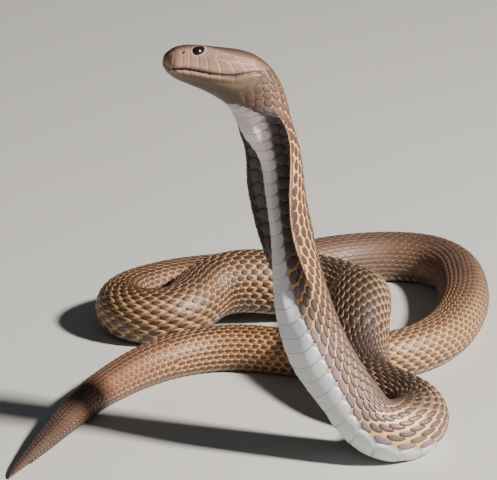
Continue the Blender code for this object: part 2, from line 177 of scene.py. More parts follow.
# Half width of the belly plates round the section, at distances from the snout
BELLY_HALF = ((28.0, 0.6), (31.0, 3.0), (34.0, 6.5), (38.0, 10.5), (46.0, 13.0), (58.0, 12.4), (68.0, 8.4),
              (78.0, 6.8), (92.0, 6.2), (108.0, 6.2), (119.0, 6.8), (130.0, 7.8), (140.0, 9.4),
              (150.0, 11.4), (162.0, 13.0), (200.0, 13.0), (260.0, 12.8),
              (400.0, 12.6), (874.0, 10.6), (944.0, 8.6))

# Length of a belly plate, with which the scales keep step, at distances from the snout
PITCH = ((30.0, 3.6), (50.0, 4.6), (90.0, 5.8), (150.0, 6.6), (200.0, 7.0), (245.0, 6.2), (290.0, 4.9),
         (874.0, 4.8), (954.0, 4.4), (1054.0, 3.2), (1110.0, 2.2))

# Length and width of a scale, as shares of the room for it, at distances from the snout
SCALE_LENGTH = ((36.0, 1.06), (50.0, 1.02), (62.0, 0.92), (130.0, 0.94), (160.0, 1.06), (235.0, 1.10),
                (285.0, 1.14))
SCALE_WIDTH = ((36.0, 1.32), (50.0, 1.20), (62.0, 0.82), (130.0, 0.90), (160.0, 1.06), (235.0, 1.06),
               (285.0, 1.04))

# Distance at which the scales begin behind the head's shields, at degrees from the midline of the crown
SCALES_BEGIN = ((0.0, 36.5), (35.0, 36.5), (60.0, 35.5), (76.0, 36.5), (84.0, 36.5), (104.0, 33.0),
                (140.0, 28.0), (180.0, 26.0))

# How far the belly's midline is turned round the section towards the viewer, at distances from the snout
BELLY_TURN = ((120.0, 0.0), (140.0, 1.0), (155.0, 1.8), (165.0, 3.8), (175.0, 5.6), (188.0, 7.4),
              (200.0, 7.0), (220.0, 3.5), (245.0, 0.0))

# Head seams of one flank, each a line of places: distance from the snout and degrees from the crown
SEAMS = (
    ((2.4, 0), (2.6, 28), (3.2, 46), (3.4, 62), (3.2, 84), (3.4, 112)),
    ((2.6, 0), (6.6, 0), (10.6, 0)),
    ((6.6, 0), (6.7, 22), (7.2, 38)),
    ((3.2, 46), (6.4, 43), (8.8, 38)),
    ((10.6, 0), (11.0, 13), (10.4, 23), (8.8, 38), (9.4, 50), (9.2, 68)),
    ((11.0, 13), (13.4, 16), (16.4, 14), (18.6, 9), (20.0, 0)),
    ((18.6, 9), (19.4, 21), (18.8, 33), (17.6, 38)),
    ((20.0, 0), (28.0, 0), (35.4, 0)),
    ((18.8, 33), (22.5, 43), (28.0, 47), (32.5, 42), (35.0, 24), (35.4, 0)),
    ((6.4, 60), (6.3, 70)),
    ((3.4, 76), (6.3, 70), (9.2, 68), (11.9, 65)),
    ((16.4, 62), (19.8, 66), (24.2, 66), (28.6, 62), (33.0, 55)),
    ((17.4, 42), (20.2, 41), (20.6, 50), (20.2, 58), (19.8, 66)),
    ((17.8, 50), (20.6, 50)),
    ((17.4, 57), (20.2, 58)),
    ((20.6, 50), (24.0, 47)),
    ((26.6, 47), (27.4, 55), (28.6, 62)),
    ((27.4, 55), (33.0, 49)),
    ((32.5, 42), (33.0, 49), (33.0, 55), (34.6, 62)),
    ((6.3, 70), (6.8, 92), (7.0, 117)),
    ((9.2, 68), (9.9, 92), (10.4, 115)),
    ((12.6, 70), (13.6, 90), (14.2, 111)),
    ((16.0, 66), (17.4, 86), (18.4, 106)),
    ((19.8, 66), (21.8, 82), (23.2, 98)),
    ((24.2, 66), (26.6, 78), (28.0, 89)),
    ((28.6, 62), (30.6, 70), (32.0, 77)),
    ((4.4, 128), (9.0, 131), (14.0, 129), (19.0, 124), (24.0, 116), (29.0, 106), (34.0, 92)),
    ((3.4, 117), (4.4, 128), (4.2, 180)),
    ((7.2, 118), (7.6, 131)),
    ((10.8, 115), (11.4, 131)),
    ((14.6, 110), (15.4, 128)),
    ((18.8, 105), (19.6, 123)),
    ((23.4, 98), (24.4, 115)),
    ((28.2, 89), (29.2, 105)),
    ((4.2, 180), (12.0, 180), (20.0, 180)),
    ((12.0, 180), (11.6, 160), (10.6, 146), (9.0, 131)),
    ((20.0, 180), (19.6, 160), (18.0, 146), (15.4, 128)),
    ((18.0, 146), (22.6, 140), (28.0, 126), (34.0, 110)),
    ((19.6, 160), (25.0, 156), (31.0, 144), (36.0, 130)),
    ((25.0, 156), (25.4, 180)),
    ((22.6, 140), (25.0, 156)),
    ((28.0, 126), (31.0, 144)),
    ((25.4, 180), (31.0, 170), (31.0, 144)),
    ((31.0, 170), (37.0, 166), (36.0, 130)),
    ((34.0, 92), (36.4, 110), (36.0, 130)),
    ((37.0, 166), (38.4, 180)),
    ((36.0, 130), (41.0, 140), (41.0, 162), (37.0, 166)),
    ((36.4, 110), (41.0, 118), (41.0, 140)),
    ((41.0, 162), (43.0, 180)),
)


def smooth(low: float | np.ndarray, high: float | np.ndarray, value: np.ndarray) -> np.ndarray:
    """Return 0 below low, 1 above high, and an even turn between."""
    t = np.clip((np.asarray(value, float) - low) / (high - low), 0.0, 1.0)
    return t * t * (3.0 - 2.0 * t)


def bell(value: np.ndarray, middle: float, width: float) -> np.ndarray:
    """Return 1 at the middle, falling evenly to nothing a couple of widths away."""
    return np.exp(-((value - middle) / width) ** 2)


def ridge(value: np.ndarray, shape: Ridge) -> np.ndarray:
    """Return the height of a rounded ridge, or of a cut, at each value."""
    height, middle, width = shape
    return height * bell(value, middle, width)


def read(table: Table, place: np.ndarray) -> np.ndarray:
    """Return a table's value at each place."""
    return np.interp(place, *zip(*table))


def rgb(red: float, green: float, blue: float) -> np.ndarray:
    """Return a linear colour from display values of 0 to 255."""
    value = np.array((red, green, blue)) / 255.0
    return np.where(value < 0.04045, value / 12.92, ((value + 0.055) / 1.055) ** 2.4)


def mix(first: np.ndarray, second: np.ndarray, share: np.ndarray) -> np.ndarray:
    """Return colours between first and second, by a share for each row."""
    share = np.asarray(share, float)[..., None]
    return (1.0 - share) * first + share * second


def natural_spline(knots: np.ndarray, values: np.ndarray, where: np.ndarray) -> np.ndarray:
    """Follow the natural cubic spline of values over knots.

    Args:
        knots: rising distances, one a station.
        values: one row of values a station.
        where: the distances to read.

    Returns:
        One row of values for each distance read.
    """
    count = len(knots)
    step = np.diff(knots)
    slope = np.diff(values, axis=0) / step[:, None]
    system = np.eye(count)
    right = np.zeros_like(values)
    for i in range(1, count - 1):
        system[i, i - 1:i + 2] = step[i - 1], 2.0 * (step[i - 1] + step[i]), step[i]
        right[i] = 6.0 * (slope[i] - slope[i - 1])
    bend = np.linalg.solve(system, right)
    i = np.clip(np.searchsorted(knots, where) - 1, 0, count - 2)
    h = step[i][:, None]
    a = (knots[i + 1] - where)[:, None]
    b = (where - knots[i])[:, None]
    return ((bend[i] * a ** 3 + bend[i + 1] * b ** 3) / (6.0 * h)
            + (values[i] / h - bend[i] * h / 6.0) * a
            + (values[i + 1] / h - bend[i + 1] * h / 6.0) * b)


def vary(least: float, more: float, share: np.ndarray) -> np.ndarray:
    """Return the least value, raised by a share of what may be added."""
    return least + more * share


def running_sum(steps: np.ndarray) -> np.ndarray:
    """Return the running sum of a row of steps, from 0."""
    return np.concatenate([[0.0], np.cumsum(steps)])


def running_length(points: np.ndarray) -> np.ndarray:
    """Return the running length along a row of points."""
    return running_sum(np.linalg.norm(np.diff(points, axis=0), axis=1))


def wrap(share: np.ndarray) -> np.ndarray:
    """Return shares round the section, brought back between -1 and 1."""
    return (share + 1.0) % 2.0 - 1.0


class Column(IntEnum):
    """Columns of the route's table behind the place (0 to 2) and the dorsal direction (3 to 5)."""

    WIDE = 6
    UP = 7
    DOWN = 8
    HOOD = 9
    LYING = 10
    TIP = 11
    LIFT = 12


@dataclass
class Route:
    """The centreline, with its dorsal direction and section sizes, as in the solids."""

    table: np.ndarray = field(init=False)
    along: np.ndarray = field(init=False)

    def __post_init__(self) -> None:
        """Fit the centreline through its stations."""
        rows = []
        for x, y, z, dorsal, wide, up, down, tip, hood in RAISED:
            rows.append((x, y, z, *dorsal, wide, up, down, hood, 0.0, tip))
        for x, y, girth in LYING:
            depth = BELLY_FLAT * girth
            rows.append((x, y, depth, 0.0, 0.0, 1.0, girth, girth, depth, 0.0, 1.0, 0.0))
        stations = np.array(rows)
        knots = running_length(stations[:, :3])
        fine = np.linspace(0.0, knots[-1], FINE_STEPS)
        self.table = natural_spline(knots, stations, fine)
        along = running_length(self.table[:, :3])
        reach = np.linalg.norm(self.table[:, :2] - np.array(OVERPASS_AT), axis=1)
        first, last = np.interp([knots[len(RAISED) + k] for k in OVERPASS_STATIONS], fine, along)
        front = (along > first) & (along < last)
        top = along[front][np.argmin(reach[front])]
        lift = OVERPASS_LIFT * np.exp(-((along - top) / OVERPASS_REACH) ** 2)
        lift[(along < first - OVERPASS_EASE) | (along > last)] = 0.0
        lift += LEFT_LIFT * bell(along, np.interp(knots[len(RAISED) + LEFT_AT], fine, along), LEFT_REACH)
        lying = smooth(*LYING_SHARE, self.table[:, Column.LYING])
        floor = self.table[:, Column.DOWN] + lift * (lift > LEAST_LIFT)
        self.table[:, 2] = (1.0 - lying) * self.table[:, 2] + lying * floor
        self.table = np.column_stack([self.table, lift])
        self.along = running_length(self.table[:, :3])
        self.table[:, :2] -= np.array(PLAN_ORIGIN)

    @property
    def total(self) -> float:
        """Return the whole length."""
        return float(self.along[-1])

    def rows(self, distance: np.ndarray) -> np.ndarray:
        """Return the row of values at each distance from the snout."""
        return np.stack([np.interp(distance, self.along, column) for column in self.table.T], axis=-1)

    def frames(self, distance: np.ndarray) -> tuple[np.ndarray, np.ndarray, np.ndarray]:
        """Find the section planes.

        Args:
            distance: distances from the snout.

        Returns:
            The rows of values, the side directions and the dorsal directions.
        """
        row = self.rows(distance)
        near = self.rows(np.maximum(distance - TANGENT_HALF, 0.0))[..., :3]
        far = self.rows(np.minimum(distance + TANGENT_HALF, self.total))[..., :3]
        tangent = far - near
        tangent /= np.linalg.norm(tangent, axis=-1, keepdims=True)
        dorsal = row[..., 3:6] / np.linalg.norm(row[..., 3:6], axis=-1, keepdims=True)
        lean = np.sum(dorsal * tangent, axis=-1)
        square = np.where(distance > FOOT[1], smooth(*OVERPASS_LEAN, row[..., Column.LIFT]),
                          1.0 - smooth(*FOOT, distance))
        dorsal = dorsal - (square * lean)[..., None] * tangent
        dorsal /= np.linalg.norm(dorsal, axis=-1, keepdims=True)
        side = np.cross(tangent, dorsal)
        side /= np.linalg.norm(side, axis=-1, keepdims=True)
        return row, side, dorsal


@dataclass
class Form:
    """The outer surface of the solids, addressed by distance and by share round the section."""

    route: Route
    step: float = 1.0
    angles: int = 181
    shares: int = 241
    distances: np.ndarray = field(init=False)
    run: np.ndarray = field(init=False)
    turned: np.ndarray = field(init=False)
    half: np.ndarray = field(init=False)

    def __post_init__(self) -> None:
        """Measure every section, so that places can be spaced evenly round it."""
        self.distances = np.linspace(0.0, self.route.total, int(self.route.total / self.step) + 1)
        theta = np.linspace(0.0, math.pi, self.angles)
        rows = self.route.rows(self.distances)[:, None, :]
        grid = (len(self.distances), self.angles)
        across, over = self.offsets(np.broadcast_to(rows, (*grid, rows.shape[2])),
                                    np.broadcast_to(theta, grid),
                                    np.broadcast_to(self.distances[:, None], grid), features=False)
        steps = np.hypot(np.diff(across, axis=1), np.diff(over, axis=1))
        run = np.concatenate([np.zeros((len(steps), 1)), np.cumsum(steps, axis=1)], axis=1)
        self.half = run[:, -1]
        self.run = run / self.half[:, None]
        even = np.linspace(0.0, 1.0, self.shares)
        self.turned = np.array([np.interp(even, line, theta) for line in self.run])

    @staticmethod
    def mouth(distance: np.ndarray) -> np.ndarray:
        """Return the angle of the line of the mouth."""
        return np.radians(read(MOUTH_LINE, distance))

    def offsets(self, row: np.ndarray, theta: np.ndarray, distance: np.ndarray,
                features: bool = True) -> tuple[np.ndarray, np.ndarray]:
        """Find the section's outline.

        Args:
            row: the row of values at each place.
            theta: the angle of each place from the midline of the back.
            distance: the distance of each place.
            features: whether the head's lips, brows and cheeks are added.

        Returns:
            The side and dorsal offsets of each place.
        """
        wide, up, down, hood, tip = (row[..., k] for k in (Column.WIDE, Column.UP, Column.DOWN, Column.HOOD,
                                                           Column.TIP))
        s, c = np.sin(theta), np.cos(theta)
        full = np.where(c > 0.0, up, down / BELLY_FLAT)
        hood_side = wide * np.sign(s) * np.abs(s) ** HOOD_SQUARE
        arch = up * np.abs(c) ** ARCH_SQUARE - tip * (hood_side / wide) ** 2
        inner = arch - WING_THICKNESS * np.abs(c) ** WING_TAPER
        off_column = np.abs(hood_side) / read(THROAT, distance)
        throat = smooth(*THROAT_SIDE, off_column)
        under = (1.0 - throat) * -down * (1.0 - THROAT_ROUND * off_column ** 2) + throat * inner
        hood_dorsal = np.where(c > 0.0, arch, np.minimum(under, inner))
        neck_side = (1.0 - hood) * wide * s + hood * hood_side
        neck_dorsal = (1.0 - hood) * np.maximum(full * c, -down) + hood * hood_dorsal
        side = wide * np.sign(s) * np.abs(s) ** HEAD_SQUARE
        dorsal = np.where(c > 0.0, up, down) * np.sign(c) * np.abs(c) ** CROWN_SQUARE
        if features:
            half = np.abs(theta)
            lips = smooth(*LIPS_FRONT, distance) * (1.0 - smooth(*LIPS_REAR, distance))
            off = (half - self.mouth(distance)) * np.maximum(wide, up)
            swell = lips * (ridge(np.abs(off), LIP_SWELL) + ridge(off, LIP_GROOVE))
            for height, round_it, along in HEAD_SWELLS:
                swell = swell + height * bell(half, *round_it) * bell(distance, *along)
            swell = swell * (distance < FEATURES_END)
            side = side + swell * s
            dorsal = dorsal + swell * c
        share = smooth(HEAD_END, HEAD_END + BLEND_BACK, distance)
        return (1.0 - share) * side + share * neck_side, (1.0 - share) * dorsal + share * neck_dorsal

    def _read(self, grid: np.ndarray, distance: np.ndarray, across: np.ndarray) -> np.ndarray:
        """Read a grid between its lines.

        Args:
            grid: one row of values a measured section.
            distance: distances from the snout.
            across: shares of the grid's width, from 0 to 1.

        Returns:
            One value a place.
        """
        i = np.clip(distance / self.route.total * (len(grid) - 1), 0, len(grid) - 1.001)
        j = np.clip(across * (grid.shape[1] - 1), 0, grid.shape[1] - 1.001)
        a, b = i.astype(int), j.astype(int)
        u, v = i - a, j - b
        return ((grid[a, b] * (1 - v) + grid[a, b + 1] * v) * (1 - u)
                + (grid[a + 1, b] * (1 - v) + grid[a + 1, b + 1] * v) * u)

    def theta(self, distance: np.ndarray, share: np.ndarray) -> np.ndarray:
        """Return the angle from the midline of the back at each place."""
        return np.sign(share) * self._read(self.turned, distance, np.abs(share))

    def share(self, distance: np.ndarray, theta: np.ndarray) -> np.ndarray:
        """Return the share round the section at each angle."""
        return np.sign(theta) * self._read(self.run, distance, np.abs(theta) / math.pi)

    def girth(self, distance: np.ndarray) -> np.ndarray:
        """Return the length from the back's midline to the belly's, round one flank."""
        return np.interp(distance, self.distances, self.half)

    def belly(self, distance: np.ndarray) -> np.ndarray:
        """Return the half width of the belly plates at each distance."""
        return np.minimum(read(BELLY_HALF, distance), PLATE_MOST * self.girth(distance))

    def turn(self, distance: np.ndarray) -> np.ndarray:
        """Return the share round the section by which the markings are turned at each distance."""
        return read(BELLY_TURN, distance) / self.girth(distance)

    def points(self, distance: np.ndarray, share: np.ndarray, lift: np.ndarray) -> np.ndarray:
        """Place points on the skin.

        Args:
            distance: distances from the snout.
            share: shares round the section, which may run past 1 or -1.
            lift: heights over the surface of the solids.

        Returns:
            One point a place.
        """
        share = wrap(share)
        theta = self.theta(distance, share)
        row, side, dorsal = self.route.frames(distance)
        across, over = self.offsets(row, theta, distance)
        ahead = self.offsets(row, theta + NORMAL_STEP, distance)
        behind = self.offsets(row, theta - NORMAL_STEP, distance)
        run, rise = ahead[0] - behind[0], ahead[1] - behind[1]
        length = np.maximum(np.hypot(run, rise), 1e-9)
        # A wing's edge is thin, so what lies under its surface keeps nearer to it there
        edge = bell(np.abs(theta), math.pi / 2.0, WING_EDGE)
        lift = lift * (1.0 - WING_THIN * row[..., Column.HOOD] * edge)
        across = across - lift * rise / length
        over = over + lift * run / length
        return row[..., :3] + across[..., None] * side + over[..., None] * dorsal

    def stretch(self, distance: np.ndarray, share: np.ndarray) -> np.ndarray:
        """Measure how the skin is stretched along the animal.

        Args:
            distance: distances from the snout.
            share: shares round the section.

        Returns:
            How far each place moves for each millimetre of centreline.
        """
        zero = np.zeros_like(distance)
        reach = self.points(distance + 0.5, share, zero) - self.points(distance - 0.5, share, zero)
        return np.linalg.norm(reach, axis=-1)


class Zone(Enum):
    """Stretches of the animal that one joined mesh of scales covers."""

    HOOD = ("scales_hood", SCALES_FROM, 150.0, 25, "hood_brown")
    NECK = ("scales_neck", 150.0, 300.0, 25, "scale_brown")
    FRONT = ("scales_front", 300.0, 520.0, 23, "scale_brown")
    MIDDLE = ("scales_middle", 520.0, 714.0, 23, "scale_brown")
    REAR = ("scales_rear", 714.0, 894.0, 21, "scale_brown")
    VENT = ("scales_vent", 894.0, VENT_AT + 20.0, 19, "scale_brown")
    TAIL = ("scales_tail", VENT_AT + 20.0, 1024.0, 15, "scale_brown")
    TIP = ("scales_tip", 1024.0, 1074.0, 11, "scale_brown")
    END = ("scales_end", 1074.0, 1106.0, 7, "scale_brown")

    @property
    def loose(self) -> bool:
        """Return whether the scales stand on loose skin, as high, pointed ovals."""
        return self in (Zone.HOOD, Zone.NECK)


@dataclass(frozen=True)
class Tones:
    """Colours at one distance from the snout, with the size of the dark dash on each scale."""

    at: float
    core: Display
    front: Display
    edge: Display
    skin: Display
    plate: Display
    long: float
    wide: float


TONES = (
    # At 30 and 40, under the jaw, the tones are darkened partly as painted shade under the head
    Tones(30, (84, 66, 50), (150, 116, 92), (78, 60, 46), (112, 92, 72), (104, 88, 70), 1.4, 1.4),
    Tones(40, (90, 66, 51), (150, 116, 92), (64, 44, 34), (122, 94, 68), (200, 186, 186), 1.4, 1.4),
    Tones(49, (98, 68, 54), (170, 130, 92), (60, 39, 31), (176, 134, 88), (228, 214, 218), 1.4, 1.4),
    Tones(62, (80, 53, 41), (190, 145, 100), (48, 31, 24), (212, 160, 98), (226, 212, 218), 1.4, 1.4),
    Tones(110, (80, 53, 43), (196, 150, 104), (48, 31, 24), (214, 162, 96), (216, 206, 214), 1.4, 1.4),
    Tones(135, (88, 62, 53), (190, 150, 108), (48, 32, 26), (216, 166, 102), (210, 210, 216), 1.4, 1.4),
    Tones(160, (88, 63, 55), (176, 142, 116), (44, 30, 24), (224, 180, 122), (218, 222, 228), 1.4, 1.4),
    Tones(222, (84, 61, 53), (170, 134, 104), (46, 32, 26), (222, 180, 126), (216, 220, 224), 1.4, 1.4),
    Tones(246, (64, 51, 50), (168, 132, 94), (46, 36, 33), (126, 98, 72), (180, 178, 174), 0.95, 1.0),
    Tones(300, (60, 46, 42), (166, 132, 94), (50, 38, 32), (112, 86, 64), (150, 144, 136), 0.80, 0.88),
    Tones(430, (60, 45, 39), (170, 136, 94), (50, 38, 32), (112, 86, 62), (150, 144, 136), 0.80, 0.86),
    Tones(470, (80, 53, 39), (184, 142, 98), (58, 40, 30), (126, 94, 66), (144, 132, 124), 0.80, 0.76),
    Tones(610, (82, 55, 41), (180, 138, 96), (60, 40, 32), (126, 94, 68), (144, 132, 124), 0.80, 0.76),
    Tones(660, (100, 73, 61), (138, 106, 84), (72, 50, 42), (116, 88, 70), (150, 142, 136), 0.92, 0.92),
    Tones(760, (100, 73, 59), (142, 110, 84), (72, 50, 40), (120, 92, 70), (150, 142, 134), 0.92, 0.90),
    Tones(800, (102, 73, 53), (190, 154, 106), (70, 48, 36), (142, 112, 80), (156, 146, 136), 0.78, 0.74),
    Tones(890, (94, 60, 41), (198, 154, 104), (66, 42, 31), (146, 108, 74), (166, 150, 132), 0.72, 0.68),
    Tones(950, (92, 57, 39), (196, 150, 102), (66, 42, 30), (146, 106, 72), (160, 142, 122), 0.70, 0.66),
    Tones(990, (108, 69, 48), (172, 124, 88), (78, 50, 36), (138, 98, 70), (140, 116, 98), 0.80, 0.74),
    Tones(1035, (106, 70, 52), (146, 102, 76), (72, 49, 38), (116, 82, 62), (124, 99, 82), 0.86, 0.86),
    # From 1060 the tones darken towards the tip of the tail
    Tones(1060, (72, 49, 38), (92, 66, 52), (52, 37, 31), (76, 54, 43), (88, 70, 58), 1.0, 1.0),
    Tones(1110, (62, 43, 35), (82, 59, 47), (47, 34, 28), (68, 49, 40), (82, 64, 53), 1.0, 1.0),
)


@dataclass
class Paint:
    """The animal's markings, which the skin and the scales share."""

    form: Form
    seed: int = 7
    # Dark colours of the hood's inner faces, partly their own and partly painted shade
    inner_skin_and_shade: Display = (84, 74, 77)
    inner_scale_and_shade: Display = (86, 76, 79)
    lilac: Display = (158, 138, 144)
    # Colour of a painted highlight in the middle of each scale of the neck
    painted_highlight: Display = (170, 142, 136)
    pale_front: Display = (206, 178, 156)
    hood_share: Span = (0.40, 0.85)      # shares of hood between which the wings darken inside, partly as painted shade
    near_edge: float = 1.69              # angle at which the inner face, darkened partly as painted shade, begins on the near wing
    far_shade_edge: float = 1.38               # the same on the far wing, where the painted shade begins sooner
    edge_turn: float = 0.06
    neck_ends: Span = (222.0, 254.0)     # distances over which the neck's scales turn into the body's
    lead: float = 30.0                   # how much sooner the back darkens than the flanks behind the neck
    lead_flank: Span = (0.5, 1.5)        # angles over which that lead fades
    lead_at: Span = (232.0, 26.0)        # middle and half length of the stretch that it covers
    skin_back: Span = (0.2, 0.9)         # angles over which the back turns into the flank, on the skin
    scale_back: Span = (0.25, 0.85)      # and on the scales
    dark_back: Span = (225.0, 260.0)     # distances over which the skin of the back darkens
    plates_begin: Span = (32.0, 35.0)
    plate_edge: Span = (-0.2, 0.6)       # distance over which the skin under the plates takes their colour
    low_rows: float = 0.8                # how many rows beside the belly are tinted
    lilac_from: Span = (116.0, 140.0)
    highlight_from: Span = (130.0, 165.0)
    highlight_size: float = 0.6
    dash_at: float = 0.35                # how far behind a scale's middle its dark dash is broadest
    dash_edge: Span = (0.60, 1.10)
    rim_out: Span = (0.70, 1.0)          # where the dark rim lies, out from a scale's middle: partly its own dark edge, partly painted shade
    rim_rear: Span = (-0.5, 0.4)         # and along the scale
    rim_share: Span = (0.45, 0.40)       # how far it shows, and how much more on the neck, where more painted shade is added
    rim_lilac: float = 0.3               # how far it blends into the core beside the belly
    skin_shade: float = 0.62             # brightness of the darkened skin, core and skin under the plates
    core_shade: float = 0.66
    under_shade: float = 0.6
    core_neck: float = 0.7               # how far the neck's cores keep from darkening on the back
    core_tones: Span = (0.84, 0.32)      # least brightness of a scale's core, and what chance may add
    front_tones: Span = (0.92, 0.16)
    inside_tones: Span = (0.85, 0.3)
    inside_share: float = 0.97
    lilac_share: float = 0.62
    highlight_share: float = 0.26
    pale_share: float = 0.5
    front_dark: float = 0.35             # how far the fronts take the core's colour on the back
    dash_more: Span = (0.30, 0.16)       # how much larger the dash is on the back, and beside the belly

    @staticmethod
    def tone(name: str, distance: np.ndarray) -> np.ndarray:
        """Read a tone along the animal.

        Args:
            name: the tone's name.
            distance: distances from the snout.

        Returns:
            One linear colour a distance.
        """
        stops = np.array([rgb(*getattr(tone, name)) for tone in TONES])
        at = [tone.at for tone in TONES]
        return np.stack([np.interp(distance, at, stops[:, k]) for k in range(3)], axis=-1)

    @staticmethod
    def size(name: str, distance: np.ndarray) -> np.ndarray:
        """Return the half length or half width of the dark dash, as a share of its scale."""
        return np.interp(distance, [tone.at for tone in TONES], [getattr(tone, name) for tone in TONES])

    def ahead(self, distance: np.ndarray, theta: np.ndarray) -> np.ndarray:
        """Return the distance whose tones a place takes: behind the neck the back darkens first."""
        near_back = 1.0 - smooth(*self.lead_flank, np.abs(theta))
        return distance + self.lead * near_back * bell(distance, *self.lead_at)

    def inside(self, distance: np.ndarray, theta: np.ndarray) -> np.ndarray:
        """Find the dark inner faces of the hood's wings, whose darkness is partly their own colour and partly
        painted shade.

        Args:
            distance: distances from the snout.
            theta: angles from the midline of the back.

        Returns:
            How far each place lies on such a face, from 0 to 1.
        """
        hood = self.form.route.rows(distance)[..., Column.HOOD]
        edge = np.where(theta > 0.0, self.near_edge, self.far_shade_edge)
        return smooth(*self.hood_share, hood) * smooth(edge, edge + self.edge_turn, np.abs(theta))

    def skin(self, distance: np.ndarray, theta: np.ndarray) -> np.ndarray:
        """Colour the bare skin between the scales.

        Args:
            distance: distances from the snout.
            theta: angles from the midline of the back.

        Returns:
            One linear colour a place.
        """
        place = self.ahead(distance, theta)
        colour = self.tone("skin", place)
        back = 1.0 - smooth(*self.skin_back, np.abs(theta))
        colour = mix(colour, colour * self.skin_shade, back * smooth(*self.dark_back, place))
        # The hood's inner faces are darkened, partly as painted shade
        colour = mix(colour, rgb(*self.inner_skin_and_shade), self.inside(distance, theta))
        share = np.abs(self.form.share(distance, theta))
        under = (share - 1.0) * self.form.girth(distance) + self.form.belly(distance)
        under = smooth(*self.plate_edge, under) * smooth(*self.plates_begin, distance)
        return mix(colour, self.tone("plate", distance) * self.under_shade, under)

    def scale(self, distance: np.ndarray, theta: np.ndarray, row: np.ndarray, chance: np.ndarray,
              along: np.ndarray, across: np.ndarray, reach: np.ndarray) -> np.ndarray:
        """Colour the vertices of scales.

        Args:
            distance: distance of each scale's middle.
            theta: angle of each scale's middle.
            row: number of rows between each scale and the belly plates.
            chance: one random number from 0 to 1 for each scale.
            along: place of each vertex along its scale, from -1 at the front to 1 at the rear.
            across: place of each vertex across its scale, from -1 to 1.
            reach: place of each vertex from the middle of its scale, 0, to its edge, 1.

        Returns:
            One linear colour a vertex.
        """
        place = self.ahead(distance, theta)
        neck = 1.0 - smooth(*self.neck_ends, place)
        inside = self.inside(distance, theta)
        back = 1.0 - smooth(*self.scale_back, np.abs(theta))
        low = np.exp(-np.asarray(row, float) / self.low_rows)
        lilac = low * smooth(*self.lilac_from, distance) * neck
        core = mix(self.tone("core", place), rgb(*self.lilac), self.lilac_share * lilac)
        core = mix(core, core * self.core_shade, back * (1.0 - self.core_neck * neck))
        core = core * vary(*self.core_tones, chance)[..., None]
        # A painted highlight: a pale sheen in the middle of each scale of the neck
        painted_highlight = bell(reach, 0.0, self.highlight_size) * smooth(*self.highlight_from, distance) * neck
        core = mix(core, rgb(*self.painted_highlight), self.highlight_share * painted_highlight)
        front = mix(self.tone("front", place), rgb(*self.pale_front), self.pale_share * low * (1.0 - neck))
        front = mix(front, core, self.front_dark * back) * vary(*self.front_tones, chance)[..., None]
        more = (1.0 - neck) * (self.dash_more[0] * back + self.dash_more[1] * low)
        long, wide = self.size("long", place) + more, self.size("wide", place) + more
        behind = np.minimum(along - self.dash_at, 0.0)
        dash = 1.0 - smooth(*self.dash_edge, (behind / long) ** 2 + (across / wide) ** 2)
        colour = mix(front, core, np.maximum(dash, neck))
        # The dark rim at each scale's rear and edges: partly its own dark edge, partly painted shade
        edge = mix(self.tone("edge", place), core, self.rim_lilac * lilac)
        rim = smooth(*self.rim_out, reach) * smooth(*self.rim_rear, along)
        colour = mix(colour, edge, vary(*self.rim_share, neck) * rim)
        # On the hood's inner faces the scales are darkened, partly as painted shade
        shaded = rgb(*self.inner_scale_and_shade) * vary(*self.inside_tones, chance)[..., None]
        return mix(colour, shaded, self.inside_share * inside)


def link(name: str, data: bpy.types.ID) -> bpy.types.Object:
    """Add an object to the scene.

    Args:
        name: the object's name.
        data: the mesh, lamp or camera that it holds.

    Returns:
        The object.
    """
    made = bpy.data.objects.new(name, data)
    bpy.context.scene.collection.objects.link(made)
    return made


def dye(mesh: bpy.types.Mesh, tint: np.ndarray) -> None:
    """Store a linear colour for each vertex, which the finishes read."""
    layer = mesh.color_attributes.new("tint", "FLOAT_COLOR", "POINT")
    layer.data.foreach_set("color", np.column_stack([tint, np.ones(len(tint))]).ravel())


@dataclass
class Shell:
    """Arrays that become one mesh."""

    points: np.ndarray
    faces: list[np.ndarray]
    tint: np.ndarray
    places: list[np.ndarray]

    def build(self, name: str, material: bpy.types.Material) -> bpy.types.Object:
        """Make the mesh object.

        Args:
            name: the name of the object and its mesh.
            material: the material of all its faces.

        Returns:
            The object, linked to the scene at the origin.
        """
        mesh = bpy.data.meshes.new(name)
        mesh.vertices.add(len(self.points))
        mesh.vertices.foreach_set("co", (self.points * MM).astype(np.float32).ravel())
        corners = np.concatenate([block.ravel() for block in self.faces]).astype(np.int32)
        sizes = np.concatenate([np.full(len(block), block.shape[1]) for block in self.faces])
        mesh.loops.add(len(corners))
        mesh.loops.foreach_set("vertex_index", corners)
        mesh.polygons.add(len(sizes))
        mesh.polygons.foreach_set("loop_start", (np.cumsum(sizes) - sizes).astype(np.int32))
        dye(mesh, self.tint)
        patch = mesh.uv_layers.new(name="OFBake")
        patch.data.foreach_set("uv", np.concatenate([block.reshape(-1, 2) for block in self.places]).ravel())
        mesh.update(calc_edges=True)
        mesh.validate()
        mesh.shade_smooth()
        made = link(name, mesh)
        made.data.materials.append(material)
        return made


def unwrap(total: float, distance: np.ndarray, share: np.ndarray) -> np.ndarray:
    """Return places on the skin's own unwrap, which gives the head and hood more room."""
    u = read((*BAKE_STOPS, (total, 0.99)), distance)
    return np.stack([u, 0.5 + 0.49 * share], axis=-1)


def feed(tree: bpy.types.NodeTree, slot: bpy.types.NodeSocket, value: object) -> None:
    """Give an input socket its value.

    Args:
        tree: the nodes that it belongs to.
        slot: the input socket.
        value: a constant, or the socket or shader value that it is linked to.
    """
    value = getattr(value, "socket", value)
    if isinstance(value, bpy.types.NodeSocket):
        tree.links.new(value, slot)
    else:
        slot.default_value = value


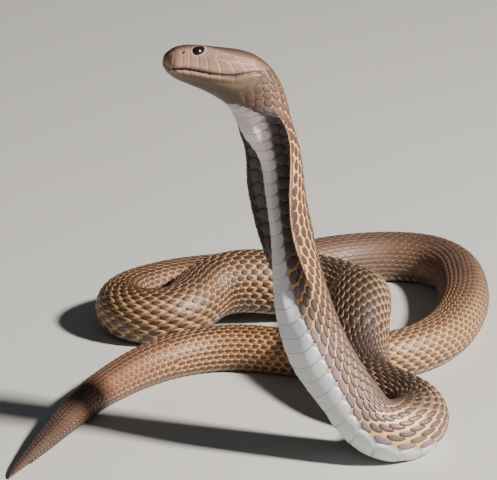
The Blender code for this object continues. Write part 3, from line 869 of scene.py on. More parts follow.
class Node:
    """A shader value that can be used in sums, so that shader maths reads as maths."""

    def __init__(self, tree: bpy.types.NodeTree, socket: bpy.types.NodeSocket) -> None:
        """Wrap one output socket of a node tree."""
        self.tree = tree
        self.socket = socket

    def _math(self, operation: str, first: object, second: object) -> "Node":
        """Add a maths node.

        Args:
            operation: what it works out.
            first: its first value, a shader value or a constant.
            second: its second value.

        Returns:
            The result.
        """
        node = self.tree.nodes.new("ShaderNodeMath")
        node.operation = operation
        for slot, value in zip(node.inputs, (first, second)):
            feed(self.tree, slot, value)
        return Node(self.tree, node.outputs[0])

    def __add__(self, other: object) -> "Node":
        """Return the sum."""
        return self._math("ADD", self, other)

    def __sub__(self, other: object) -> "Node":
        """Return the difference."""
        return self._math("SUBTRACT", self, other)

    def __mul__(self, other: object) -> "Node":
        """Return the product."""
        return self._math("MULTIPLY", self, other)


@dataclass(frozen=True)
class Finish:
    """A procedural finish over the painted tint of a mesh, or over one colour."""

    name: str
    roughness: float
    mottle: float
    mottle_size: float
    grain: float
    grain_size: float
    coat: float = 0.0
    colour: tuple[float, float, float] | None = None
    rough_spread: float = 0.16
    grain_depth: float = 0.0004
    coat_roughness: float = 0.25

    @staticmethod
    def _node(tree: bpy.types.NodeTree, kind: str, settings: dict[str, object] | None = None,
              **sockets: object) -> bpy.types.Node:
        """Add a node.

        Args:
            tree: the material's nodes.
            kind: the node's type.
            settings: the node's own settings, which are set first.
            sockets: a value or a link for each input socket, by its name with a line for each space.

        Returns:
            The node.
        """
        node = tree.nodes.new(kind)
        for key, value in (settings or {}).items():
            setattr(node, key, value)
        for key, value in sockets.items():
            feed(tree, node.inputs[key.replace("_", " ")], value)
        return node

    def _noise(self, tree: bpy.types.NodeTree, place: bpy.types.NodeSocket, size: float) -> Node:
        """Return a cloudy value from 0 to 1 whose patches have about a given size in metres."""
        node = self._node(tree, "ShaderNodeTexNoise", Vector=place, Scale=1.0 / size, Detail=4.0)
        return Node(tree, node.outputs["Fac"])

    def make(self) -> bpy.types.Material:
        """Make the material, or find it if it is made already.

        Returns:
            The material.
        """
        found = bpy.data.materials.get(self.name)
        if found:
            return found
        made = bpy.data.materials.new(self.name)
        made.use_nodes = True
        tree = made.node_tree
        place = self._node(tree, "ShaderNodeTexCoord").outputs["Object"]
        mottle = self._noise(tree, place, self.mottle_size)
        grain = self._noise(tree, place, self.grain_size)
        base = self.colour
        if base is None:
            base = self._node(tree, "ShaderNodeVertexColor", {"layer_name": "tint"}).outputs["Color"]
        shade = (mottle - 0.5) * (2.0 * self.mottle) + (grain - 0.5) * self.mottle + 1.0
        scaled = self._node(tree, "ShaderNodeVectorMath", {"operation": "SCALE"}, Vector=base, Scale=shade)
        rough = (mottle - 0.5) * self.rough_spread + self.roughness
        bump = self._node(tree, "ShaderNodeBump", Strength=self.grain, Distance=self.grain_depth,
                          Height=grain)
        inputs = {"Base Color": scaled.outputs[0], "Roughness": rough, "Normal": bump.outputs[0],
                  "Coat Weight": self.coat, "Coat Roughness": self.coat_roughness}
        for key, value in inputs.items():
            feed(tree, tree.nodes["Principled BSDF"].inputs[key], value)
        return made


SKIN_FINISH = Finish("bare_skin", 0.50, 0.12, 0.005, 0.25, 0.0007, coat=0.10)
SCALE_FINISH = Finish("scale_horn", 0.50, 0.12, 0.004, 0.12, 0.0006, coat=0.05)
PLATE_FINISH = Finish("plate_horn", 0.42, 0.10, 0.006, 0.10, 0.0009, coat=0.08)
EYE_FINISH = Finish("eye_wet", 0.05, 0.10, 0.001, 0.0, 0.0006, coat=1.0)
FLOOR_FINISH = Finish("floor_matt", 0.9, 0.02, 0.3, 0.0, 0.01, colour=(0.52, 0.515, 0.495))


@dataclass
class Relief:
    """Fine relief and colour of the head: shields with pale seams, lips, nostrils and eye rims."""

    form: Form
    crown: Display = (76, 58, 48)
    side: Display = (146, 112, 96)
    upper_lip: Display = (160, 126, 108)
    lower_lip: Display = (166, 132, 114)
    jaw: Display = (132, 104, 82)
    # The chin's and throat's colours are partly their own and partly painted shade under the head
    chin_and_shade: Display = (104, 84, 66)
    throat: Display = (78, 64, 49)
    pale_seam: Display = (212, 186, 160)
    # Painted shade in the mouth's groove and the nostril, and in the socket round the eye
    mouth_line_shade: Display = (44, 26, 22)
    nostril_shade: Display = (40, 26, 22)
    eye_rim: Display = (200, 174, 150)
    socket: Display = (30, 22, 20)
    shields_end: Span = (37.0, 44.0)
    seam_cut: Ridge = (-0.15, 0.0, 0.22)
    seam_hollow: Ridge = (-0.03, 0.0, 0.7)
    mouth_front: Span = (2.6, 6.0)
    mouth_rear: Span = (33.0, 36.5)
    mouth_cut: Ridge = (-0.45, 0.0, 0.26)
    least_mouth: float = 0.02            # share of the line's depth under which none is painted
    no_mouth: float = 9.0                # how much farther from the line such places count
    nostril_cut: Ridge = (-0.9, 0.0, 0.62)
    nostril_rim: Ridge = (0.10, 1.15, 0.4)
    socket_depth: float = 0.9
    socket_edge: Span = (1.5, 2.2)
    socket_rim: Ridge = (0.14, 2.66, 0.36)
    crown_edge: Span = (0.35, 0.95)      # angles over which the crown's colour turns into the side's
    lip_edge: Span = (1.2, 1.7)
    jaw_from: Span = (16.0, 28.0)        # distances over which the lower lip turns into the jaw
    chin_edge: Span = (1.6, 3.4)         # distances under the mouth's line over which the chin's colour begins, darkened partly as painted shade
    throat_edge: Span = (5.0, 10.0)
    pale_from: Span = (17.0, 23.0)       # distances over which the seams turn pale
    pale_edge: Span = (0.45, 0.9)
    seam_half: float = 0.22              # half width of a pale seam, and of the shade beside it
    shade_half: float = 0.28
    gape_half: float = 0.36
    gape_share: float = 0.95
    lower_edge: Span = (0.0, 0.5)        # distances under the mouth's line over which the lower lip begins
    pale_share: Span = (0.06, 0.52)      # how far pale seams show on the snout, and how much more behind it
    pale_lower: float = 0.8              # how far they fade under the mouth
    shade: float = 0.6                   # brightness of the shade beside a seam
    shade_share: Span = (0.34, -0.5)     # how far it shows, and its change where the seam is pale
    rim_at: Span = (2.75, 0.28)
    rim_share: float = 0.55
    socket_tint: Span = (2.1, 2.4)
    pieces: int = 6                      # straight pieces between two places of a seam
    lines: np.ndarray = field(init=False)

    def __post_init__(self) -> None:
        """Cut the seams into short straight pieces on the unrolled flank."""
        found = []
        for line in SEAMS:
            places = np.array(line, float)
            fine = np.linspace(0, len(places) - 1, self.pieces * (len(places) - 1) + 1)
            s = np.interp(fine, range(len(places)), places[:, 0])
            t = np.radians(np.interp(fine, range(len(places)), places[:, 1]))
            q = self.form.share(s, t) * self.form.girth(s)
            found.append(np.column_stack([s[:-1], q[:-1], s[1:], q[1:]]))
        self.lines = np.concatenate(found)

    def seam(self, distance: np.ndarray, arc: np.ndarray) -> np.ndarray:
        """Find the nearest seam.

        Args:
            distance: distances from the snout.
            arc: lengths round the section from the midline of the crown.

        Returns:
            How far each place is from it.
        """
        best = np.full(len(distance), np.inf)
        for x0, y0, x1, y1 in self.lines:
            dx, dy = x1 - x0, y1 - y0
            t = np.clip(((distance - x0) * dx + (arc - y0) * dy) / (dx * dx + dy * dy + 1e-9), 0.0, 1.0)
            best = np.minimum(best, np.hypot(distance - x0 - t * dx, arc - y0 - t * dy))
        return best

    def _from(self, place: tuple[float, float], distance: np.ndarray, arc: np.ndarray) -> np.ndarray:
        """Return how far each place on a flank is from a named place."""
        s, t = np.array([place[0]]), np.radians([place[1]])
        return np.hypot(distance - s, arc - self.form.share(s, t) * self.form.girth(s))

    def shape(self, distance: np.ndarray, share: np.ndarray) -> tuple[np.ndarray, np.ndarray]:
        """Work out the head's relief and colour.

        Args:
            distance: distances from the snout.
            share: shares round the section.

        Returns:
            The height of each place over the head's form, and its linear colour.
        """
        theta = np.abs(self.form.theta(distance, share))
        arc = np.abs(share) * self.form.girth(distance)
        on_head = 1.0 - smooth(*self.shields_end, distance)
        seam = self.seam(distance, arc)
        lift = on_head * (ridge(seam, self.seam_cut) + ridge(seam, self.seam_hollow))
        row = self.form.route.rows(distance)
        off = (theta - self.form.mouth(distance)) * np.maximum(row[..., Column.WIDE], row[..., Column.UP])
        mouth = smooth(*self.mouth_front, distance) * (1.0 - smooth(*self.mouth_rear, distance))
        lift = lift + mouth * ridge(off, self.mouth_cut)
        nose = self._from(NOSTRIL_AT, distance, arc)
        lift = lift + ridge(nose, self.nostril_cut) + ridge(nose, self.nostril_rim)
        eye = self._from(EYE_AT, distance, arc)
        lift = lift - self.socket_depth * (1.0 - smooth(*self.socket_edge, eye)) + ridge(eye, self.socket_rim)
        # Ahead of the mouth's line and behind it, places are taken to be far from it
        off = off * np.where(mouth > self.least_mouth, 1.0, self.no_mouth)
        return lift, self.colour(distance, theta, seam, off, nose, eye)

    def colour(self, distance: np.ndarray, theta: np.ndarray, seam: np.ndarray, off: np.ndarray,
               nose: np.ndarray, eye: np.ndarray) -> np.ndarray:
        """Paint the head.

        Args:
            distance: distances from the snout.
            theta: angles from the midline of the crown.
            seam: distance to the nearest seam.
            off: distance under the line of the mouth.
            nose: distance from the nostril.
            eye: distance from the middle of the eye.

        Returns:
            One linear colour a place.
        """
        lower = smooth(*self.lower_edge, off)
        lip = mix(rgb(*self.lower_lip), rgb(*self.jaw), smooth(*self.jaw_from, distance))
        pale = vary(*self.pale_share, smooth(*self.pale_from, distance))
        pale = pale * smooth(*self.pale_edge, theta) * (1.0 - self.pale_lower * lower)
        colour = rgb(*self.crown)
        # The chin and throat colours carry painted shade under the jaw
        for tint, share in ((rgb(*self.side), smooth(*self.crown_edge, theta)),
                            (rgb(*self.upper_lip), smooth(*self.lip_edge, theta)),
                            (lip, lower),
                            (rgb(*self.chin_and_shade), smooth(*self.chin_edge, off)),
                            (rgb(*self.throat), smooth(*self.throat_edge, off)),
                            (rgb(*self.pale_seam), pale * bell(seam, 0.0, self.seam_half))):
            colour = mix(colour, tint, share)
        shaded = vary(*self.shade_share, pale) * bell(seam, 0.0, self.shade_half)
        colour = mix(colour, colour * self.shade, shaded)
        # Painted shade in the mouth's groove, the nostril and the socket round the eye; the eye's pale rim is
        # its own colour
        for tint, share in ((self.mouth_line_shade, self.gape_share * bell(off, 0.0, self.gape_half)),
                            (self.nostril_shade, bell(nose, 0.0, self.nostril_cut[2])),
                            (self.eye_rim, self.rim_share * bell(eye, *self.rim_at)),
                            (self.socket, 1.0 - smooth(*self.socket_tint, eye))):
            colour = mix(colour, rgb(*tint), share)
        return colour


@dataclass
class Skin:
    """The one skin that stands for every node of flesh."""

    form: Form
    paint: Paint
    nodes: tuple[str, ...]
    body_sides: int = 96
    snout_reach: float = 0.4             # how far the skin's end reaches from its last ring to the solids'
    tail_reach: float = 0.7

    def _ring_distances(self) -> tuple[np.ndarray, np.ndarray]:
        """Set out the rings of the skin.

        Returns:
            The distances of the rings of the head and hood, and of those of the body.
        """
        head = np.arange(FIRST_RING, HEAD_RINGS_TO, HEAD_STEP)
        hood = np.arange(head[-1] + HOOD_STEP, HOOD_TO, HOOD_STEP)
        end = self.form.route.total - LAST_RING
        return np.concatenate([head, hood]), np.linspace(HOOD_TO + 1.0, end, int((end - HOOD_TO) / BODY_STEP))

    def _ring(self, distances: np.ndarray, sides: int) -> tuple[np.ndarray, np.ndarray]:
        """Set out the vertices of rings.

        Args:
            distances: the rings' distances.
            sides: how many vertices a ring has.

        Returns:
            The distance and share of every vertex.
        """
        share = np.linspace(0.0, 2.0, sides, endpoint=False)
        share = np.where(share > 1.0, share - 2.0, share)
        return np.repeat(distances, sides), np.tile(share, len(distances))

    def _tube(self, start: int, rings: int, sides: int) -> np.ndarray:
        """Join rings of equal sides.

        Args:
            start: the number of the first vertex.
            rings: how many rings there are.
            sides: how many vertices a ring has.

        Returns:
            The quads between them.
        """
        i, j = np.meshgrid(np.arange(rings - 1), np.arange(sides), indexing="ij")
        near = start + i * sides
        k = (j + 1) % sides
        return np.stack([near + j, near + k, near + sides + k, near + sides + j], axis=-1).reshape(-1, 4)

    def build(self) -> bpy.types.Object:
        """Make the skin, which rides on the root and stands for the nodes of flesh.

        Returns:
            The skin's object.
        """
        relief = Relief(self.form)
        head, body = self._ring_distances()
        wide = 2 * self.body_sides
        s0, q0 = self._ring(head, wide)
        s1, q1 = self._ring(body, self.body_sides)
        distance, share = np.concatenate([s0, s1]), np.concatenate([q0, q1])
        lift, head_tint = relief.shape(distance, share)
        depth = HEAD_DEPTH + (SKIN_DEPTH - HEAD_DEPTH) * smooth(*DEPTH_TURNS, distance)
        lift = np.where(distance < HEAD_RINGS_TO, lift, 0.0) - depth
        turned = self.form.theta(distance, wrap(share + self.form.turn(distance)))
        tint = mix(head_tint, self.paint.skin(distance, turned), smooth(*TINT_TURNS, distance))
        points = self.form.points(distance, share, lift)
        faces = [self._tube(0, len(head), wide), self._tube(len(s0), len(body), self.body_sides)]
        last, first = (len(head) - 1) * wide, len(s0)
        j = np.arange(self.body_sides)
        k = (j + 1) % self.body_sides
        a, b, c = last + 2 * j, last + 2 * j + 1, last + (2 * j + 2) % wide
        seam = np.concatenate([np.stack([a, b, first + j], 1), np.stack([b, first + k, first + j], 1),
                               np.stack([b, c, first + k], 1)])
        snout, tail = len(points), len(points) + 1
        ends = self.form.route.rows(np.array([0.0, self.form.route.total]))[:, :3]
        rings = (points[:wide], points[-self.body_sides:])
        tips = np.array([(1.0 - reach) * ring.mean(axis=0) + reach * tip
                         for ring, tip, reach in zip(rings, ends, (self.snout_reach, self.tail_reach))])
        end = len(points) - self.body_sides
        j0 = np.arange(wide)
        caps = np.concatenate([np.stack([np.full(wide, snout), (j0 + 1) % wide, j0], 1),
                               np.stack([np.full(self.body_sides, tail), end + j, end + k], 1)])
        faces += [seam, caps]
        points = np.concatenate([points, tips])
        tint = np.concatenate([tint, tint[:1], tint[-1:]])
        distance = np.concatenate([distance, [0.0, self.form.route.total]])
        share = np.concatenate([share, [0.0, 0.0]])
        places = []
        for block in faces:
            corner = share[block]
            turn = corner - corner[:, :1]
            corner = corner[:, :1] + turn - 2.0 * np.round(turn / 2.0)
            places.append(unwrap(self.form.route.total, distance[block], corner))
        made = Shell(points, faces, tint, places).build("skin", SKIN_FINISH.make())
        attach(made, "root")
        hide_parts(*self.nodes)
        return made


@dataclass(frozen=True)
class Disc:
    """A small plate as rings and spokes, domed above and flat below."""

    spokes: int
    rings: int
    blunt: float = 2.0
    point: float = 0.0

    def outline(self) -> tuple[np.ndarray, np.ndarray, np.ndarray, np.ndarray]:
        """Place the vertices of one plate.

        Returns:
            Where they lie along, across and out from the middle, and whether they are underneath.
        """
        turn = np.linspace(0.0, 2.0 * math.pi, self.spokes, endpoint=False)
        c, s = np.cos(turn), np.sin(turn)
        along = np.sign(c) * (1.0 - np.abs(s) ** self.blunt) ** 0.5
        across = s * (1.0 - self.point * smooth(0.0, 1.0, along))
        reach = np.concatenate([[0.0]] + [np.full(self.spokes, (k + 1) / self.rings)
                                          for k in range(self.rings)] + [np.full(self.spokes, 1.0)])
        ring = self.rings + 1
        x = np.concatenate([[0.0], np.tile(along, ring)]) * reach
        y = np.concatenate([[0.0], np.tile(across, ring)]) * reach
        under = np.concatenate([np.zeros(1 + self.spokes * self.rings), np.ones(self.spokes)])
        return x, y, reach, under

    def faces(self) -> list[np.ndarray]:
        """Join the vertices of one plate, outward side out.

        Returns:
            Triangles, quads and the flat underside.
        """
        j = np.arange(self.spokes)
        k = (j + 1) % self.spokes
        fan = np.stack([np.zeros_like(j), 1 + j, 1 + k], 1)
        rings = []
        for ring in range(self.rings):
            a = 1 + ring * self.spokes
            b = a + self.spokes
            rings.append(np.stack([a + j, b + j, b + k, a + k], 1))
        base = 1 + self.rings * self.spokes
        floor = (base + j)[None, ::-1]
        return [fan, np.concatenate(rings), floor]


@dataclass
class Plates:
    """A joined mesh of many small plates set on the skin."""

    form: Form
    disc: Disc
    distance: np.ndarray
    share: np.ndarray
    long: np.ndarray
    wide: np.ndarray
    front: float | np.ndarray
    rear: float | np.ndarray
    dome: float
    sink: float = 0.25
    dome_power: float = 2.4
    least_thick: float = 0.05
    ends: Span = (0.5, 0.4)              # how far it keeps from the snout, and from the tip of the tail

    def build(self, name: str, finish: Finish, slot: str,
              colours: Callable[..., np.ndarray]) -> bpy.types.Object:
        """Make the mesh.

        Args:
            name: the object's name.
            finish: its finish.
            slot: not used.
            colours: gives the vertices' colours from their places along, across and out from the middle.

        Returns:
            The object, riding on the root.
        """
        x, y, reach, under = self.disc.outline()
        count, size = len(self.distance), len(x)
        girth = self.form.girth(self.distance)[:, None]
        s = self.distance[:, None] + x * self.long[:, None]
        root = wrap(self.share - self.form.turn(self.distance))
        q = root[:, None] + y * self.wide[:, None] / girth
        slope = 0.5 * (x + 1.0)
        front, rear = (np.broadcast_to(v, count)[:, None] for v in (self.front, self.rear))
        lift = front * (1.0 - slope) + rear * slope
        lift = lift + self.dome * (1.0 - reach ** self.dome_power)
        base = np.minimum(lift - self.sink - self.least_thick, -self.sink)
        lift = np.where(under > 0.5, base, lift) - SKIN_DEPTH
        s = np.clip(s, self.ends[0], self.form.route.total - self.ends[1])
        points = self.form.points(s.ravel(), q.ravel(), lift.ravel())
        faces = [(block[None] + (np.arange(count) * size)[:, None, None]).reshape(-1, block.shape[1])
                 for block in self.disc.faces()]
        middle = unwrap(self.form.route.total, self.distance, root)
        patch = middle[:, None, :] + 0.5 * BAKE_PATCH * np.stack([x, y], axis=-1)[None]
        patch = patch.reshape(-1, 2)
        tint = colours(*(np.broadcast_to(v, (count, size)) for v in (x, y, reach)))
        made = Shell(points, faces, tint.reshape(-1, 3), [patch[block] for block in faces])
        piece = made.build(name, finish.make())
        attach(piece, "root")
        return piece


@dataclass
class Coat:
    """All scales and belly plates."""

    form: Form
    paint: Paint
    edge_rows: float = 1.3               # how many rows beside the belly are wider than the others
    edge_more: float = 0.5               # and by what share
    stretches: Span = (0.75, 1.35)       # how far the skin's stretch may change a scale's length
    widths: Span = (0.95, 0.10)          # least width of a scale, and how much more chance adds
    closer: float = 0.26                 # how much wider scales are where they stand close
    inner_face: Span = (1.7, 1.9)        # angles from which they do so inside the hood
    inner_from: Span = (50.0, 60.0)
    inner_to: Span = (130.0, 150.0)
    jaw_face: Span = (0.9, 1.4)          # angles from which they do so under the jaw
    jaw_to: Span = (58.0, 76.0)
    shift: float = 0.10                  # how far back a scale stands from its place, in half lengths
    sunk: float = 0.25                   # how deep the bases of scales lie, and on the hood's thin wings
    sunk_hood: float = 0.06
    scale_front: float = 0.03            # how high a scale's front stands over the skin
    scale_rear: Span = (0.19, 0.23)      # how high its rear stands, where the skin is tight and where loose
    scale_dome: Span = (0.12, 0.19)
    scale_point: Span = (0.12, 0.26)     # how far its rear narrows
    plate_front: Span = (0.02, 0.22)     # how high a plate's front stands, and how much more on the head
    plate_rear: Span = (0.38, 0.10)
    plate_dome: float = 0.05
    plate_overlap: float = 1.34          # length of a plate, as a share of the room for it
    plate_shift: float = 0.25            # how far behind its scales it stands, in plates
    plate_beyond: float = 0.4            # how far it reaches under the scales beside it
    pair_width: float = 0.56             # width of a paired plate, as a share of a whole one
    plate_tones: Span = (0.92, 0.14)     # least brightness of a plate, and how much more chance adds
    joint_out: Span = (0.88, 1.0)        # where the dark line behind a plate lies, out from its middle: partly its joint, partly painted shadow
    joint_rear: Span = (0.1, 0.7)        # and along it
    joint_bow: float = 0.4               # how much sooner it begins at a plate's ends
    joint_and_shadow_brightness: float = 0.38            # its brightness, which carries the painted shadow
    samples: int = 4000                  # places at which the plates are counted
    columns: np.ndarray = field(init=False)
    column_at: np.ndarray = field(init=False)

    def __post_init__(self) -> None:
        """Count the belly plates along the animal; scales keep step with them."""
        self.column_at = np.linspace(0.0, self.form.route.total, self.samples)
        pitch = self.pitch(self.column_at)
        self.columns = running_sum(np.diff(self.column_at) / pitch[:-1])

    @staticmethod
    def pitch(distance: np.ndarray) -> np.ndarray:
        """Return the length of a belly plate at each distance."""
        return read(PITCH, distance)

    def _lattice(self, zone: Zone) -> tuple[np.ndarray, ...]:
        """Set out the scales of one zone.

        Args:
            zone: the stretch of the animal.

        Returns:
            The distance, share, row from the belly, half length and half width of every scale.
        """
        _, start, end, rows, _ = zone.value
        first, last = np.interp((start, end), self.column_at, self.columns)
        found = []
        lows = [min(j, rows - 1 - j) for j in range(rows)]
        weights = np.array([1.0 + self.edge_more * math.exp(-low / self.edge_rows) for low in lows])
        edges = running_sum(weights) / weights.sum()
        for j, low in enumerate(lows):
            columns = np.arange(math.ceil(first), math.ceil(last)) + 0.5 * (j % 2)
            s = np.interp(columns, self.columns, self.column_at)
            girth = self.form.girth(s)
            open_share = 1.0 - self.form.belly(s) / girth
            middle = (edges[j] + edges[j + 1]) - 1.0
            width = 2.0 * (edges[j + 1] - edges[j]) * open_share * girth
            found.append(np.column_stack([s, middle * open_share, np.full(len(s), low), self.pitch(s),
                                          width]))
        return tuple(np.concatenate(found).T)

    def zone(self, zone: Zone) -> bpy.types.Object:
        """Make the scales of one zone.

        Args:
            zone: the stretch of the animal.

        Returns:
            The joined scales.
        """
        name, start, _, _, slot = zone.value
        s, share, low, pitch, width = self._lattice(zone)
        theta = self.form.theta(s, share)
        # The crown's shields and the cheeks keep the front of the first zone free of scales
        keep = s > read(SCALES_BEGIN, np.degrees(np.abs(theta)))
        s, share, low, pitch, width, theta = (v[keep] for v in (s, share, low, pitch, width, theta))
        draw = np.random.default_rng(self.paint.seed + int(start))
        chance = draw.random(len(s))
        stretch = np.clip(self.form.stretch(s, share), *self.stretches)
        length, breadth = self.spread(s, np.abs(theta))
        long = 0.5 * pitch * length / stretch
        wide = 0.5 * width * breadth * vary(*self.widths, draw.random(len(s)))
        disc = Disc(spokes=16, rings=4, blunt=2.1, point=self.scale_point[zone.loose])
        plates = Plates(self.form, disc, s + self.shift * long, share, long, wide, self.scale_front,
                        self.scale_rear[zone.loose], self.scale_dome[zone.loose],
                        self.sunk_hood if zone is Zone.HOOD else self.sunk)

        def colours(along: np.ndarray, across: np.ndarray, reach: np.ndarray) -> np.ndarray:
            """Return the vertices' colours."""
            grow = [np.broadcast_to(v[:, None], along.shape) for v in (s, theta, low, chance)]
            return self.paint.scale(*grow, along, across, reach)

        return plates.build(name, SCALE_FINISH, slot, colours)

    def spread(self, distance: np.ndarray, theta: np.ndarray) -> tuple[np.ndarray, np.ndarray]:
        """Size the scales: they stand apart on stretched skin, and closer under the jaw and inside the hood.

        Args:
            distance: distances from the snout.
            theta: angles from the midline of the back.

        Returns:
            The length and width as shares of the room for each scale.
        """
        inner = smooth(*self.inner_from, distance) * (1.0 - smooth(*self.inner_to, distance))
        jaw = smooth(*self.jaw_face, theta) * (1.0 - smooth(*self.jaw_to, distance))
        close = np.maximum(smooth(*self.inner_face, theta) * inner, jaw)
        return read(SCALE_LENGTH, distance), read(SCALE_WIDTH, distance) + self.closer * close

    def belly_plates(self) -> bpy.types.Object:
        """Make the broad plates of the belly, which become paired behind the vent.

        Returns:
            The joined plates.
        """
        first, vent, last = np.interp((PLATES_FROM, VENT_AT, PLATES_TO), self.column_at, self.columns)
        whole = np.arange(math.ceil(first), math.floor(vent)) + self.plate_shift
        paired = np.arange(math.floor(vent), math.floor(last)) + self.plate_shift
        columns = np.concatenate([whole, paired, paired])
        s = np.interp(columns, self.columns, self.column_at)
        girth = self.form.girth(s)
        half = self.form.belly(s) + self.plate_beyond
        pair = np.concatenate([np.zeros(len(whole)), np.ones(len(paired)), -np.ones(len(paired))])
        share = 1.0 + pair * 0.5 * half / girth
        wide = np.where(pair == 0.0, half, self.pair_width * half)
        long = 0.5 * self.pitch(s) * self.plate_overlap
        # The skin of the head lies higher, so the first plates do too
        head = 1.0 - smooth(*DEPTH_TURNS, s)
        draw = np.random.default_rng(self.paint.seed).random(len(s))
        front, rear = vary(*self.plate_front, head), vary(*self.plate_rear, head)
        plates = Plates(self.form, Disc(spokes=52, rings=6, blunt=4.6), s, share, long, wide, front, rear,
                        self.plate_dome)

        def colours(along: np.ndarray, across: np.ndarray, reach: np.ndarray) -> np.ndarray:
            """Colour the plates' vertices.

            Args:
                along: place of each vertex along its plate, from -1 at the front to 1 at the rear.
                across: place of each vertex across its plate, from -1 to 1.
                reach: place of each vertex from the middle of its plate, 0, to its edge, 1.

            Returns:
                One linear colour a vertex.
            """
            base = self.paint.tone("plate", s) * vary(*self.plate_tones, draw)[:, None]
            base = np.broadcast_to(base[:, None, :], (*along.shape, 3))
            # A dark line at each plate's rear edge: partly the joint, partly painted shadow
            joint = smooth(*self.joint_rear, along + self.joint_bow * np.abs(across))
            return mix(base, base * self.joint_and_shadow_brightness, smooth(*self.joint_out, reach) * joint)

        return plates.build("belly_plates", PLATE_FINISH, "scale_brown", colours)

    def build(self) -> list[bpy.types.Object]:
        """Return every piece of the coat."""
        return [*(self.zone(zone) for zone in Zone), self.belly_plates()]


@dataclass
class Eyes:
    """The two eyes, each a wet ball with a faint iris."""

    form: Form
    rings: int = 40
    segments: int = 56
    gap: float = 0.05                    # how much smaller the ball is than the solid
    pupil: Display = (10, 8, 8)
    iris: Display = (26, 18, 15)
    iris_at: Span = (36.0, 12.0)         # degrees from the pupil's middle, and half width

    def _eye(self, flank: float, node: str) -> bpy.types.Object:
        """Make one eye.

        Args:
            flank: 1 for the left side, -1 for the right.
            node: the node that it stands for.

        Returns:
            The eye's object.
        """
        s, t = np.array([EYE_AT[0]]), flank * np.radians([EYE_AT[1]])
        row, side, dorsal = self.form.route.frames(s)
        across, over = self.form.offsets(row, t, s)
        reach = np.hypot(across, over)
        share = (reach - EYE_SINK) / reach
        centre = (row[:, :3] + (across * share)[:, None] * side + (over * share)[:, None] * dorsal)[0]
        out = ((across / reach)[:, None] * side + (over / reach)[:, None] * dorsal)[0]
        bpy.ops.object.select_all(action="DESELECT")
        bpy.ops.mesh.primitive_uv_sphere_add(segments=self.segments, ring_count=self.rings,
                                             radius=(EYE_RADIUS - self.gap) * MM)
        eye = bpy.context.object
        eye.name = node + "_ball"
        eye.data.name = eye.name
        turn = Vector((0, 0, 1)).rotation_difference(Vector(out)).to_matrix().to_4x4()
        flat = np.array([v.co for v in eye.data.vertices]) / MM
        away = np.degrees(np.arccos(np.clip(flat[:, 2] / np.linalg.norm(flat, axis=1), -1, 1)))
        dye(eye.data, mix(rgb(*self.pupil), rgb(*self.iris), bell(away, *self.iris_at)))
        eye.data.uv_layers[0].name = "OFBake"
        eye.data.transform(turn)
        for vertex in eye.data.vertices:
            vertex.co += Vector(centre * MM)
        eye.data.shade_smooth()
        eye.data.materials.append(EYE_FINISH.make())
        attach(eye, "root")
        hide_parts(node)
        return eye

    def build(self) -> list[bpy.types.Object]:
        """Return both eyes."""
        return [self._eye(1.0, "eye_left"), self._eye(-1.0, "eye_right")]


@dataclass(frozen=True)
class Lamp:
    """A soft square light: where it stands, in metres, its power in watts, its width and its colour."""

    name: str
    place: tuple[float, float, float]
    power: float
    size: float
    colour: tuple[float, float, float]

    def build(self, aim: tuple[float, float, float]) -> bpy.types.Object:
        """Add the light to the scene.

        Args:
            aim: the place that it is turned towards.

        Returns:
            The light's object.
        """
        data = bpy.data.lights.new(self.name, "AREA")
        data.energy, data.size, data.color = self.power, self.size, self.colour
        made = link(self.name, data)
        made.location = self.place
        made.rotation_euler = (Vector(aim) - Vector(self.place)).to_track_quat("-Z", "Y").to_euler()
        return made


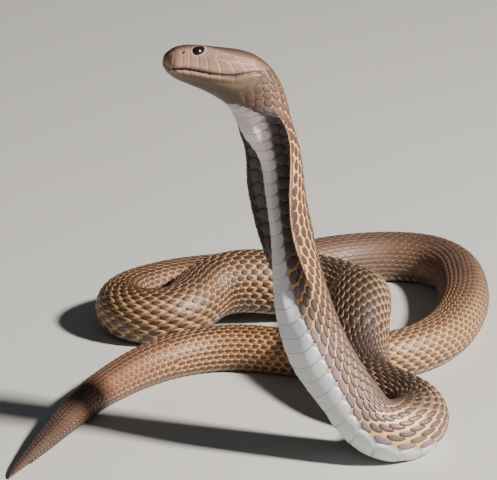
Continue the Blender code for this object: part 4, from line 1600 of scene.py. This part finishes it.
@dataclass
class Studio:
    """The camera, which keeps the photo's framing, with a pale floor and soft lights."""

    elevation: float = 19.0
    distance: float = 1.8
    scale: float = 2330.0
    picture: tuple[int, int] = (497, 480)
    plan_zero: Span = (320.0, 459.0)     # where the plan's own zero stands in the picture
    floor_radius: float = 4.0
    aim: tuple[float, float, float] = (0.0, 0.0, 0.06)
    lamps: tuple[Lamp, ...] = (Lamp("key", (1.38, -0.70, 1.30), 112.0, 0.20, (1.0, 0.95, 0.87)),
                               Lamp("fill", (-1.3, -1.2, 0.9), 0.4, 1.2, (0.90, 0.96, 1.0)))
    room: tuple[float, float, float, float] = (0.82, 0.90, 1.0, 1.0)
    room_strength: float = 0.08

    def camera(self) -> bpy.types.Object:
        """Add the camera and make it current.

        Returns:
            The camera's object.
        """
        tilt = math.radians(self.elevation)
        x = (self.picture[0] / 2 - self.plan_zero[0]) / self.scale
        z = (self.plan_zero[1] - self.picture[1] / 2) / (self.scale * math.cos(tilt))
        target = Vector((x - PLAN_ORIGIN[0] * MM, -PLAN_ORIGIN[1] * MM, z))
        lens = bpy.data.cameras.new("camera")
        lens.sensor_width = 36.0
        lens.lens = self.scale * self.distance / self.picture[0] * lens.sensor_width
        lens.dof.use_dof = False
        made = link("camera", lens)
        made.location = target - self.distance * Vector((0.0, math.cos(tilt), -math.sin(tilt)))
        made.rotation_euler = (math.pi / 2 - tilt, 0.0, 0.0)
        bpy.context.scene.camera = made
        return made

    def build(self) -> None:
        """Add the floor, the lights and the even light of the room."""
        bpy.ops.object.select_all(action="DESELECT")
        bpy.ops.mesh.primitive_circle_add(vertices=96, radius=self.floor_radius, fill_type="NGON")
        floor = bpy.context.object
        floor.name = "floor"
        floor.data.materials.append(FLOOR_FINISH.make())
        for lamp in self.lamps:
            lamp.build(self.aim)
        world = bpy.data.worlds.new("room")
        bpy.context.scene.world = world
        world.use_nodes = True
        back = world.node_tree.nodes["Background"]
        back.inputs["Color"].default_value = self.room
        back.inputs["Strength"].default_value = self.room_strength


def main() -> None:
    """Load the frame, then build the camera, the room, the skin, the coat and the eyes."""
    logging.basicConfig(level=logging.INFO)
    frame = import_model()
    flesh = tuple(sorted(name for name in frame["nodes"] if not name.startswith("eye")))
    studio = Studio()
    studio.camera()
    studio.build()
    form = Form(Route())
    paint = Paint(form)
    pieces = [Skin(form, paint, flesh).build()] + Coat(form, paint).build() + Eyes(form).build()
    total = 0
    for piece in pieces:
        count = sum(len(face.vertices) - 2 for face in piece.data.polygons)
        total += count
        LOG.info("%s has %d triangles", piece.name, count)
    LOG.info("the model has %d triangles", total)


if __name__ == "__main__":
    main()
